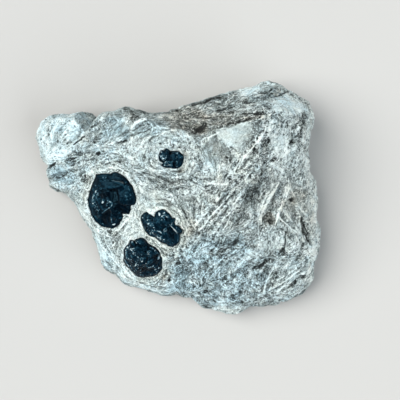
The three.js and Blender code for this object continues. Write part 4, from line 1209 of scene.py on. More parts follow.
# ---- dome and facet
mark(dome, dz=0.3, tone=0.22)
mark(spot(235, 135, 12, 8, 20, 0.6) * dome, tone=0.06)
# Darker right-hand side of the dome: painted shade.
mark(line([(258, 122), (256, 134), (247, 146)], 4.5) * dome, tone=-0.20)
mark(facet, dz=-0.15, tone=-0.04, brown=0.28)
mark(line([(264.4, 125), (261.5, 134), (256, 143), (250.8, 150), (242.8, 158), (235, 170.7)], 1.3), dz=0.55, tone=0.36, cream=0.15)
mark(line([(266, 124), (268.5, 130), (270.7, 141)], 1.0), dz=0.35, tone=0.3)
mark(line([(203, 146), (210, 138.5), (217, 134.5)], 1.4), dz=0.3, tone=0.22, cream=0.35)
mark(line([(226, 144), (233, 153), (240, 155)], 1.2), dz=0.2, tone=0.22)
mark(spot(227, 158.5, 1.5), dz=-0.4, tone=-0.55)
mark(spot(236, 142.5, 1.0), dz=-0.2, tone=-0.3)
mark(spot(254.5, 150, 2.2, 1.6, 40), dz=-0.5, tone=-0.6)
mark(inside([(209, 164), (222, 163), (224, 177), (212, 180)], 2.5), tone=0.10, cream=0.6)
# ---- crest band and the right side
mark(crest, tone=0.04, cream=0.08)
# Darker band along the right-hand side of the crest: painted shade.
mark(line([(262, 138), (249, 160), (235, 184), (222, 206)], 6.0), tone=-0.10)
mark(spot(265, 142.5, 5.0, 3.0, 35), dz=-0.8, tone=-0.62)
mark(spot(290.5, 142.5, 3.0, 2.0, 20), dz=-0.5, tone=-0.48)
mark(spot(273, 160, 2.8, 2.0, 40), dz=-0.7, tone=-0.6, brown=0.3)
mark(inside([(267, 118), (276, 120), (277, 129), (268, 130)], 1.5), dz=0.25, tone=0.22)
mark(inside([(270, 134), (286, 132), (288, 152), (278, 158), (270, 146)], 3), dz=0.2, tone=0.18)
mark(inside([(276, 118), (292, 118), (300, 128), (300, 150), (298, 172), (278, 176), (262, 172), (268, 150), (280, 140)], 4), tone=0.12)
mark(line([(303, 118), (298, 130), (292, 141)], 5.0), dz=-0.3, tone=-0.34)
mark(spot(286, 124, 4, 3, 40), dz=-0.4, tone=-0.3)
mark(line([(308, 118), (309, 131), (306, 142)], 3.2), dz=0.2, tone=0.26, blue=0.25)
mark(line([(301, 122), (295, 134)], 1.0), dz=0.3, tone=0.4)
mark(spot(250, 195, 11.5, 8, 35, 0.7), dz=-0.6, tone=-0.24, blue=0.35)
mark(spot(252, 196, 12, 9, 35, 0.5), tone=-0.10)
mark(spot(254, 190.5, 5.5, 3.2, 10, 0.7), dz=-0.2, tone=-0.16)
mark(spot(241, 220, 6, 4.0, 45, 0.8), dz=-0.35, tone=-0.22)
mark(spot(262, 176, 8, 7, 0), tone=-0.2)
mark(line([(239, 183.5), (226, 199), (213, 214), (200, 229)], 1.3), dz=0.4, tone=0.3, cream=0.2)
mark(line([(244, 190.6), (234, 205), (224.5, 219), (214, 232)], 1.2), dz=0.4, tone=0.32)
mark(line([(252, 170), (240, 183)], 1.3), dz=0.4, tone=0.3)
mark(line([(230, 205), (216, 222), (204, 236)], 1.0), dz=-0.3, tone=-0.2)
mark(line([(236, 190), (226, 203)], 1.0), dz=-0.2, tone=-0.14)
mark(line([(222, 208), (212, 219)], 1.0), dz=-0.2, tone=-0.16, brown=0.2)
mark(spot(212, 212.5, 3.0, 2.0, 40), dz=-0.3, tone=-0.3)
mark(line([(202, 183), (214, 183.6), (226, 185.4)], 0.8), dz=0.2, tone=0.4)
mark(fair, tone=-0.02, brown=0.25)
mark(line([(283, 186), (276, 200), (271, 212)], 5.0), dz=-0.8, tone=-0.16)
mark(spot(278, 194, 5, 4, 30), tone=-0.10, blue=0.5)
mark(line([(278, 183), (270.5, 196), (264.5, 206), (261, 217), (261, 224)], 1.2), dz=0.55, tone=0.36, cream=0.25)
mark(line([(274.5, 183), (267, 195), (261.5, 205), (258.5, 214)], 0.8), dz=0.3, tone=0.30, cream=0.2)
mark(line([(290.5, 184), (285.5, 197), (281.5, 208), (276.5, 221)], 1.1), dz=0.5, tone=0.38, cream=0.2)
mark(line([(287, 182), (281.5, 192)], 0.8), dz=0.3, tone=0.26)
mark(spot(289, 205, 8, 8, 0), tone=-0.10, brown=0.45)
mark(line([(275, 212), (284, 222), (295, 231), (301, 240)], 0.9), dz=0.35, tone=0.30, cream=0.15)
mark(line([(282, 209), (291, 220), (299, 232), (304, 243)], 0.9), dz=0.3, tone=0.26, cream=0.15)
mark(line([(279, 218), (288, 229), (297, 237)], 0.8), dz=-0.3, tone=-0.18, brown=0.2)
mark(spot(269.0, 219.5, 6.2, 4.8, -15, 0.35), dz=-0.9, tone=-0.30, brown=0.5)
mark(spot(270.5, 221, 2.4), dz=-0.4, tone=-0.4)
mark(spot(291, 199.8, 2.4, 1.9, 60), dz=-0.6, tone=-0.6)
mark(spot(297, 196, 8, 8, 0), tone=-0.12, brown=0.5)
mark(line([(301, 217), (304, 228), (308.5, 241)], 1.9, 0.3), dz=-0.9, tone=-0.36, brown=0.1)
mark(line([(298, 216), (300, 228), (304, 242)], 1.3), dz=0.4, tone=0.22)
mark(line([(305, 214), (309, 226), (313, 238)], 1.3), dz=0.35, tone=0.22)
mark(line([(279, 224), (288, 228), (294, 234), (298, 242)], 1.1), dz=0.35, tone=0.24)
mark(line([(279, 229), (288, 234), (293, 242)], 1.4), dz=-0.4, tone=-0.2, brown=0.15)
mark(line([(286, 234), (285, 246.7), (278.6, 255.5)], 1.3, 0.3), dz=-0.8, tone=-0.6)
mark(spot(277, 244, 5.5, 6.5, 0), dz=0.25, tone=0.24, cream=0.3)
mark(line([(266, 261.5), (260, 265.5), (252.5, 268)], 1.8, 0.3), dz=-0.7, tone=-0.5)
mark(inside([(307, 245), (318, 245), (319, 256), (312, 264), (305, 257)], 1.5), dz=0.4, tone=0.26, cream=0.1)
mark(line([(303, 158), (309, 172), (313, 190), (315, 210), (318, 236), (314, 262), (312, 280)], 4.5), tone=0.34, deep=False)
mark(spot(228, 250, 12, 9, 40), tone=-0.14, brown=0.1)
mark(spot(236, 241, 3.2, 2, 45), dz=-0.3, tone=-0.3)
# ---- lower right
mark(lower_right, tone=-0.02, blue=0.2)
mark(spot(264, 277, 5.5, 10.5, -15), dz=-0.35, tone=-0.16, blue=0.45)
mark(spot(272, 283, 4.5, 9.5, -25), dz=-0.35, tone=-0.15, brown=0.1)
mark(line([(263, 292.6), (281, 282), (299, 270)], 1.0), dz=0.35, tone=0.32)
mark(line([(268, 294), (286, 284), (303, 273)], 0.9), dz=0.3, tone=0.26)
mark(line([(262, 266), (259, 277), (261, 289)], 1.0), dz=0.3, tone=0.26)
mark(line([(271, 271), (267, 283), (264, 291)], 0.9), dz=0.3, tone=0.24)
mark(spot(301, 276.5, 3.4, 1.6, 25), dz=-0.5, tone=-0.5)
mark(spot(293, 282, 4, 1.8, 35), dz=-0.5, tone=-0.42)
mark(line([(252, 301), (265, 301), (284, 297), (303, 289), (311, 279)], 2.6), tone=0.26, deep=False)
mark(line([(215, 308), (232, 311), (244, 309)], 3.2), tone=0.30, deep=False)
for u, v, a, b, t in [(216, 298.5, 4, 2.6, 30), (240.5, 291.5, 2.6, 2.2, 0), (212.5, 270, 3.2, 2.2, 30), (242, 302, 1.5, 1.5, 0), (225, 280, 3, 2, 50),
                      (233, 262, 3, 2, 40), (222, 262, 2, 3, 0), (205, 292, 2.4, 2, 0), (250, 283, 2.6, 1.8, 50), (246, 272, 2.4, 3, 0), (232, 296, 3, 2, 30)]:
    mark(spot(u, v, a, b, t), dz=-0.4, tone=-0.36)
# ---- lower middle
mark(low, tone=-0.02, blue=0.4)
mark(spot(181, 276, 8, 11, 0), dz=0.45, tone=-0.08, blue=0.6)
mark(line([(172.5, 272), (173, 288), (180, 296), (193, 298.6)], 1.0), dz=-0.3, tone=0.3)
mark(np.exp(-((np.hypot(WU - 191.3, WV - 286) - 5) / 1.1) ** 2), dz=0.3, tone=0.16, blue=0.2)
mark(spot(191.3, 286, 3.4), dz=0.35, tone=-0.1, blue=0.3)
mark(np.exp(-((np.hypot(WU - 204, WV - 255) - 4.5) / 1.0) ** 2), dz=0.25, tone=0.14)
mark(spot(156, 283, 5, 3.6, 0), tone=-0.14, blue=0.5)
mark(spot(166, 276, 5, 3.6, 30), tone=-0.2, brown=0.55)
mark(spot(169, 281, 1.9, 1.5), dz=-0.7, tone=-0.7)
mark(spot(193.5, 231, 6, 6, 0), tone=-0.12, brown=0.6)
mark(line([(208, 204), (209, 218), (199, 236.4), (186, 253)], 1.0), dz=0.3, tone=0.22)
mark(inside([(186, 250), (208, 249), (210, 261), (190, 263)], 3), tone=0.14, blue=0.4)
mark(np.exp(-((np.hypot(WU - 214, WV - 200.5) - 4.2) / 1.1) ** 2), dz=0.3, tone=0.22, cream=0.4)
mark(spot(200, 198, 12, 9, 30), tone=0.08)
mark(spot(192, 212, 9, 8, 0), tone=-0.08)
mark(line([(172, 207), (182, 214), (190, 226)], 1.0), dz=0.2, tone=0.16)
mark(spot(172, 190, 36, 18, -15, 0.6), tone=-0.12)
mark(spot(175, 186, 12, 6, -15), tone=-0.12, brown=0.2)
mark(spot(160, 180, 8, 5, -15), tone=-0.12)
mark(line([(137, 172), (156, 178), (176, 190), (196, 196)], 1.2), dz=0.2, tone=0.12)
# ---- broad changes of hue
mark(smooth(-WU, -140, -100) * (1 - np.exp(-(rings[0] / 9) ** 2)), blue=0.5)
mark(rim_sw * smooth(WV, 225, 245), blue=0.4, deep=False)
mark(spot(208, 163, 8, 16, -15, 0.6), tone=-0.02, blue=0.55)
mark(inside([(165, 262), (190, 240), (240, 232), (262, 250), (255, 300), (205, 310), (168, 296)], 8), blue=0.45)
mark(inside([(242, 92), (268, 84), (290, 98), (292, 112), (262, 112)], 4), blue=0.45, deep=False)
mark(smooth(WU, 195, 225) * smooth(-WV, -240, -215) * smooth(WV, 112, 122), brown=0.16)
mark(smooth(WU, 296, 310), brown=0.30, deep=False)
mark(spot(187, 224, 8, 15, 10), brown=0.35)
# ---- round the three tears
mark(np.clip(np.exp(-(np.minimum(rings[1] / 12, rings[2] / 9)) ** 2) * smooth(WU, 128, 146), 0, 1), cream=0.55)
mark(around, tone=0.20, cream=0.3)
mark(inside([(147.2, 209.5), (156.2, 208.5), (155.4, 214.5), (153.2, 217.2), (149.2, 217.2)], 0.8), dz=0.1, tone=0.16, blue=0.3)
for points, w, up in [([(150.6, 209.5), (149.6, 212.5), (150.2, 216)], 0.5, 0.34), ([(153.4, 209), (152.2, 212.5), (152.6, 216.6)], 0.5, 0.36),
                      ([(155.6, 210.5), (154.4, 213.8), (154.6, 217.2)], 0.5, 0.32), ([(151.8, 209.6), (151.2, 213), (151.4, 216.4)], 0.45, -0.42),
                      ([(154.4, 209.4), (153.5, 213), (153.5, 215.6)], 0.4, -0.36), ([(148.6, 210.6), (148.4, 213.4), (149.0, 216)], 0.4, -0.34)]:
    mark(line(points, w), dz=0.25 * up, tone=up)
mark(np.exp(-((ring - 0.7) / 0.9) ** 2), dz=0.12, tone=0.12)
mark(line([(143, 221), (150, 236), (158, 243), (168, 250)], 2.6), dz=0.45, tone=0.16, cream=0.2)
mark(line([(147, 238), (156, 246), (164, 252)], 1.0), dz=-0.35, tone=-0.2)
mark(inside([(159, 246), (170, 250), (171, 256), (162, 255)], 1.0), dz=-0.4, tone=-0.26)
mark(line([(133, 222), (131, 232), (125, 238)], 3.0), tone=0.12, cream=0.2)
for k, (d, t) in enumerate([(2.4, 0.13), (4.8, -0.12), (7.0, 0.10), (9.6, -0.09)]):
    wob = 1.3 * fbm(P, 3.0, 2, seed=33 + k)
    part = smooth(perlin(P / 5.5, 60 + k), -0.15, 0.25)
    mark(np.exp(-((np.minimum.reduce(rings[:3]) + wob - d) / 0.9) ** 2) * around * part, dz=1.1 * t, tone=t)
mark(line([(86, 232), (95, 240), (98, 251)], 1.2), dz=-0.3, tone=-0.18)
mark(spot(109.5, 231.5, 2.6, 1.4, 0), dz=-0.3, tone=-0.65)
mark(spot(117, 243, 6, 8, 30), tone=-0.08, brown=0.25)
mark(spot(112, 243, 1.4), dz=-0.3, tone=-0.35)
# Paler south-west rim: painted light on the side that faced the light.
mark(rim_sw, tone=0.22, blue=0.12, deep=False)
for d, w, dz, tone_up in [(3.0, 1.3, 0.25, 0.20), (5.6, 1.0, -0.25, -0.16), (8.0, 1.1, 0.25, 0.20), (10.6, 0.9, -0.2, -0.14), (12.8, 1.0, 0.2, 0.16)]:
    mark(np.exp(-((edge + 1.6 * fbm(P, 6.0, 2, seed=181) - d) / w) ** 2) * rim_sw * smooth(V, 205, 225), dz=dz, tone=tone_up, deep=False)
mark(line([(100, 262), (107, 268), (112, 272)], 2.0), dz=-0.3, tone=-0.14, blue=0.4, deep=False)
mark(spot(183.5, 246.5, 1.5), dz=-0.3, tone=-0.5)
mark(spot(172, 262, 3, 2, 40), dz=-0.3, tone=-0.25)
for u, v in [(177.3, 227.3), (182.2, 231.4)]:
    mark(np.exp(-((np.hypot(U - u, V - v) - 1.8) / 0.6) ** 2), dz=0.1, tone=-0.6)
# ---- broad patches of darker and lighter ground
for u, v, a, b, turn, up in [
        (140, 176, 8, 7, 20, -0.17), (139, 206, 7, 12, -25, -0.17), (121, 176, 7, 5, 0, -0.08), (180, 219, 5, 9, 30, -0.20), (236, 232, 16, 8, 15, -0.19),
        (251, 171, 6, 6, 0, -0.15), (211, 257, 7, 7, 0, -0.14), (207, 275, 8, 10, 20, -0.15), (147, 281, 13, 6, -15, -0.15), (108, 228, 6, 5, 0, -0.16),
        (116, 168, 9, 5, -20, -0.08), (299, 156, 8, 9, -60, -0.13), (264, 178, 6, 10, 25, -0.10), (194, 150, 6, 7, 0, -0.10), (252, 244, 7, 5, 0, -0.09),
        (285, 118, 8, 6, -50, -0.13), (120, 124, 5, 5, 0, -0.08), (235, 128, 6, 4, 0, -0.08), (65, 144, 6, 4, 20, -0.07), (197, 160, 5, 7, 0, -0.08),
        (170, 260, 8, 8, 0, 0.24), (80, 117, 9, 5, 0, 0.20), (63, 176, 7, 6, -10, 0.17), (228, 298, 14, 6, 20, 0.17), (297, 200, 7, 9, 20, 0.16),
        (190, 200, 7, 7, 0, 0.15), (205, 238, 6, 7, 0, 0.11), (143, 155, 6, 6, 0, 0.11), (188, 287, 9, 8, 0, 0.14), (229, 213, 8, 6, 0, 0.07),
        (271, 137, 6, 6, 0, 0.12), (96, 131, 8, 6, 0, 0.06), (114, 241, 6, 4, 0, 0.08), (200, 128, 7, 8, 20, 0.07), (305, 175, 6, 14, 0, 0.06), (230, 155, 5, 5, 0, 0.08),
        (222, 268, 26, 22, 0, 0.05), (302, 205, 10, 34, 0, -0.04), (150, 150, 18, 16, 0, -0.03), (160, 222, 24, 16, 30, -0.03)]:
    mark(spot(u, v, a * 1.25, b * 1.25, turn, 0.7, 0.5), tone=up)

# ---- crisp filaments of white, one strand at a time
frng = np.random.RandomState(11)
FIBRES = [
    (224, 196, 78, 15, 53, 52, 9, 10, 34, 170, 1.0), (235, 108, 60, 11, 17, 13, 8, 10, 34, 70, 0.7), (183, 121, 20, 11, 0, -46, 12, 6, 14, 26, 0.6),
    (272, 276, 44, 22, 20, 31, 13, 8, 28, 90, 0.9), (286, 190, 28, 66, 0, 58, 28, 5, 18, 150, 0.9), (108, 246, 62, 10, -50, -52, 8, 10, 26, 60, 0.8),
    (82, 160, 40, 22, 0, 20, 35, 5, 14, 110, 0.75), (205, 272, 46, 26, 0, 42, 35, 5, 16, 150, 1.0), (215, 272, 44, 32, 0, 20, 90, 4, 10, 260, 1.0), (165, 192, 44, 18, -10, -18, 25, 6, 18, 80, 0.7),
    (140, 150, 40, 24, 0, 60, 45, 5, 14, 90, 0.6), (66, 136, 30, 24, 0, 40, 60, 4, 9, 70, 0.5), (145, 230, 60, 48, 0, -45, 40, 6, 20, 90, 0.55),
    (200, 195, 120, 100, 0, 30, 90, 4, 11, 260, 0.55),
]
samples, strong, FILAMENTS = [], [], []
for cu, cv, a, b, turn, angle, spread, short, long, count, strength in FIBRES:
    ct, st = math.cos(math.radians(turn)), math.sin(math.radians(turn))
    for _ in range(count):
        r, phi = math.sqrt(frng.rand()), frng.rand() * 2 * math.pi
        du, dv = a * r * math.cos(phi), b * r * math.sin(phi)
        u, v = cu + du * ct - dv * st, cv - (du * st + dv * ct)
        head = math.radians(angle + spread * frng.randn())
        curl = 0.03 * frng.randn()
        n = int((short + (long - short) * frng.rand()) / 0.6)
        s0 = strength * (0.4 + 0.6 * frng.rand())
        FILAMENTS.append([])
        for k in range(n):
            FILAMENTS[-1].append((u, v, s0))
            samples.append((u, v))
            strong.append(s0 * math.sin(math.pi * (k + 0.7) / (n + 0.4)) ** 0.5)
            head += curl + 0.10 * frng.randn()
            u += 0.6 * math.cos(head)
            v -= 0.6 * math.sin(head)
from mathutils import kdtree
tree = kdtree.KDTree(len(samples))
for i, (u, v) in enumerate(samples):
    tree.insert((u, v, 0), i)
tree.balance()
top = np.nonzero((N[:, 2] > 0.05) & (ring > 0.0))[0]
FIL = np.zeros(len(P))
strong = np.array(strong)
found_d, found_i = np.empty(len(top)), np.empty(len(top), int)
for k, i in enumerate(top):
    _, j, d = tree.find((U[i], V[i], 0))
    found_d[k], found_i[k] = d, j
FIL[top] = strong[found_i] * np.exp(-(found_d / 0.75) ** 2)
FIL *= 1 - 0.75 * dome
H += 0.16 * FIL * UP

# ---- finish the relief
inner = relax(H, E, 6, 0.6)
cavity = inner - H
H = H * UPPER * (0.30 + 0.70 * smooth(ring, 0.3, 2.4)) + 0.10 * np.exp(-(ring / 1.4) ** 2) * UP
within = np.zeros(len(P), bool)
for spec in TEARS.values():
    odd = np.zeros(len(P), bool)
    uv = spec["outline"]
    for (au, av), (bu, bv) in zip(uv, list(uv[1:]) + [uv[0]]):
        if av != bv:
            odd ^= ((av > V) != (bv > V)) & (U < (bu - au) * (V - av) / (bv - av) + au)
    within |= odd
H = np.where(within & (N[:, 2] > 0), np.minimum(H, 0) - 0.35 * smooth(ring, 0.0, 1.5), H)
below = N[:, 2] < -0.6
Q = P + N * H[:, None]
Q[:, 2] = np.maximum(Q[:, 2], 0)
set_coords(rock.data, Q)

# ---- colours, one number per vertex
tone = 0.575 + TONE + 0.10 * fbm(P, 6.0, 3, seed=81) + 0.05 * fbm(P, 1.8, 2, seed=85)
tone += 0.22 * (fibre - 0.42 * np.clip(crest + north + lower_right, 0, 1)) * (1 - 0.8 * calm)
tone += 0.30 * steep * (bands - 0.5) + 0.16 * steep * (thick - 0.5)
tone += 0.14 * FIL + 0.20 * flecks + 0.10 * fbm(P, 3.2, 2, seed=88) * np.clip(wild, 0, 1)
# Painted shade: tone darkens where the relief lies below its relaxed surroundings, and lifts a little on crests
# (painted light).
tone -= 0.9 * np.clip(cavity, -0.12, 0.5) * smooth(ring, 0.0, 2.5) * (1 - 0.25 * still)
tone += (0.22 * (lift - 0.5) * w_wrap + 0.16 * (layers(swirl * 1.1) - 0.5) * w_swirl) * UP
tone += (0.16 * (chip_id - 0.5) + 0.12 * (chip_id2 - 0.5)) * (0.3 + 0.7 * w_chip) * UP * (1 - 0.8 * dome) * (1 - 0.3 * still)
tone += (0.16 * np.exp(-(gap2 / 0.10) ** 2) + 0.12 * np.exp(-(gap / 0.06) ** 2)) * w_chip * smooth(RAG, -0.2, 0.2) * UP
# Painted shade in the pits, which are also sunk into the relief.
tone -= 0.32 * pits
tone += (0.035 * wide_strand + 0.055 * np.clip(broad_strand, -2, 2) + 0.06 * np.clip(thin_strand, -2, 2) + 0.16 * (layers(0.9 * broad_strand) - 0.5)) * w_flow
tone -= 0.25 * crest + 0.20 * low + 0.17 * lower_right + 0.08 * left + 0.07 * right + 0.055
tone = np.where(below, 0.5 + 0.1 * fbm(P, 6.0, 2, seed=81), tone)
rough = 0.62 + 0.48 * crest + 0.36 * right + 0.2 * lower_right + 0.15 * low + 0.2 * rim_sw + 0.1 * left \
    - 0.75 * dome - 0.6 * facet - 0.35 * fair - 0.5 * spot(181, 276, 8, 11) - 0.4 * spot(225, 104, 12, 7, 15) - 0.3 * spot(156, 283, 6, 4) - 0.4 * plate_a - 0.35 * plate_b - 0.2 * nub
rough = np.clip(rough * UP + 0.7 * (1 - UP), 0.06, 1.4)
cols = {"tone": tone, "brown": BROWN, "cream": CREAM, "blue": BLUE, "rough": rough,
        "w_crest": np.clip(crest + 0.25 * right * (1 - fair), 0, 1), "w_north": north, "w_low": np.clip(lower_right + 0.3 * low, 0, 1),
        "wrap": wrap, "w_wrap": w_wrap * UP, "w_swirl": w_swirl * UP, "w_chip": w_chip * UP + 0.4 * (1 - UP),
        "w_fleck": np.clip(0.12 + 0.45 * low + 0.35 * lower_right + 0.75 * crest + 0.45 * right - 0.3 * dome, 0, 1) * UP + 0.1,
        "broad": broad_strand, "thin": thin_strand, "w_flow": w_flow}
cols["blue"] = BLUE + 0.75 * fbm(P, 3.4, 2, seed=151) + 0.35 * perlin(P / 1.2, 155) - 0.05
cols["brown"] = BROWN + 0.45 * fbm(P, 3.2, 2, seed=161)
cols["cream"] = CREAM + 0.10 + 0.90 * fbm(P, 2.6, 2, seed=171)

for name, spec in TEARS.items():
    cut(rock, make_tear("cutter", spec, 6, 0.17))
group = rock.vertex_groups.new(name="fewer")
nz, pz = normals(rock.data)[:, 2], coords(rock.data)[:, 2]
hidden = (nz < -0.1) | (pz < 0.5)
group.add(np.nonzero(hidden)[0].tolist(), 1.0, "REPLACE")
group.add(np.nonzero(~hidden & (nz < 0.35))[0].tolist(), 0.55, "REPLACE")
group.add(np.nonzero(~hidden & (nz >= 0.35))[0].tolist(), 0.30, "REPLACE")
m = rock.modifiers.new("tri", "TRIANGULATE")
m = rock.modifiers.new("fewer", "DECIMATE")
m.ratio = 190000 / (2 * len(rock.data.polygons))
m.vertex_group = "fewer"
applied(rock)
# slivers that hang on by one edge go
bm = bmesh.new()
bm.from_mesh(rock.data)
while True:
    slivers = [f for f in bm.faces if sum(len(e.link_faces) == 1 for e in f.edges) >= 2]
    if not slivers:
        break
    bmesh.ops.delete(bm, geom=slivers, context="FACES")
bm.to_mesh(rock.data)
bm.free()

rock.vertex_groups.clear()
tree = kdtree.KDTree(len(Q))
for i, q in enumerate(Q):
    tree.insert(q, i)
tree.balance()
F = coords(rock.data)
near = np.array([tree.find(p)[1] for p in F])
for name, values in cols.items():
    attribute(rock.data, name, values[near])
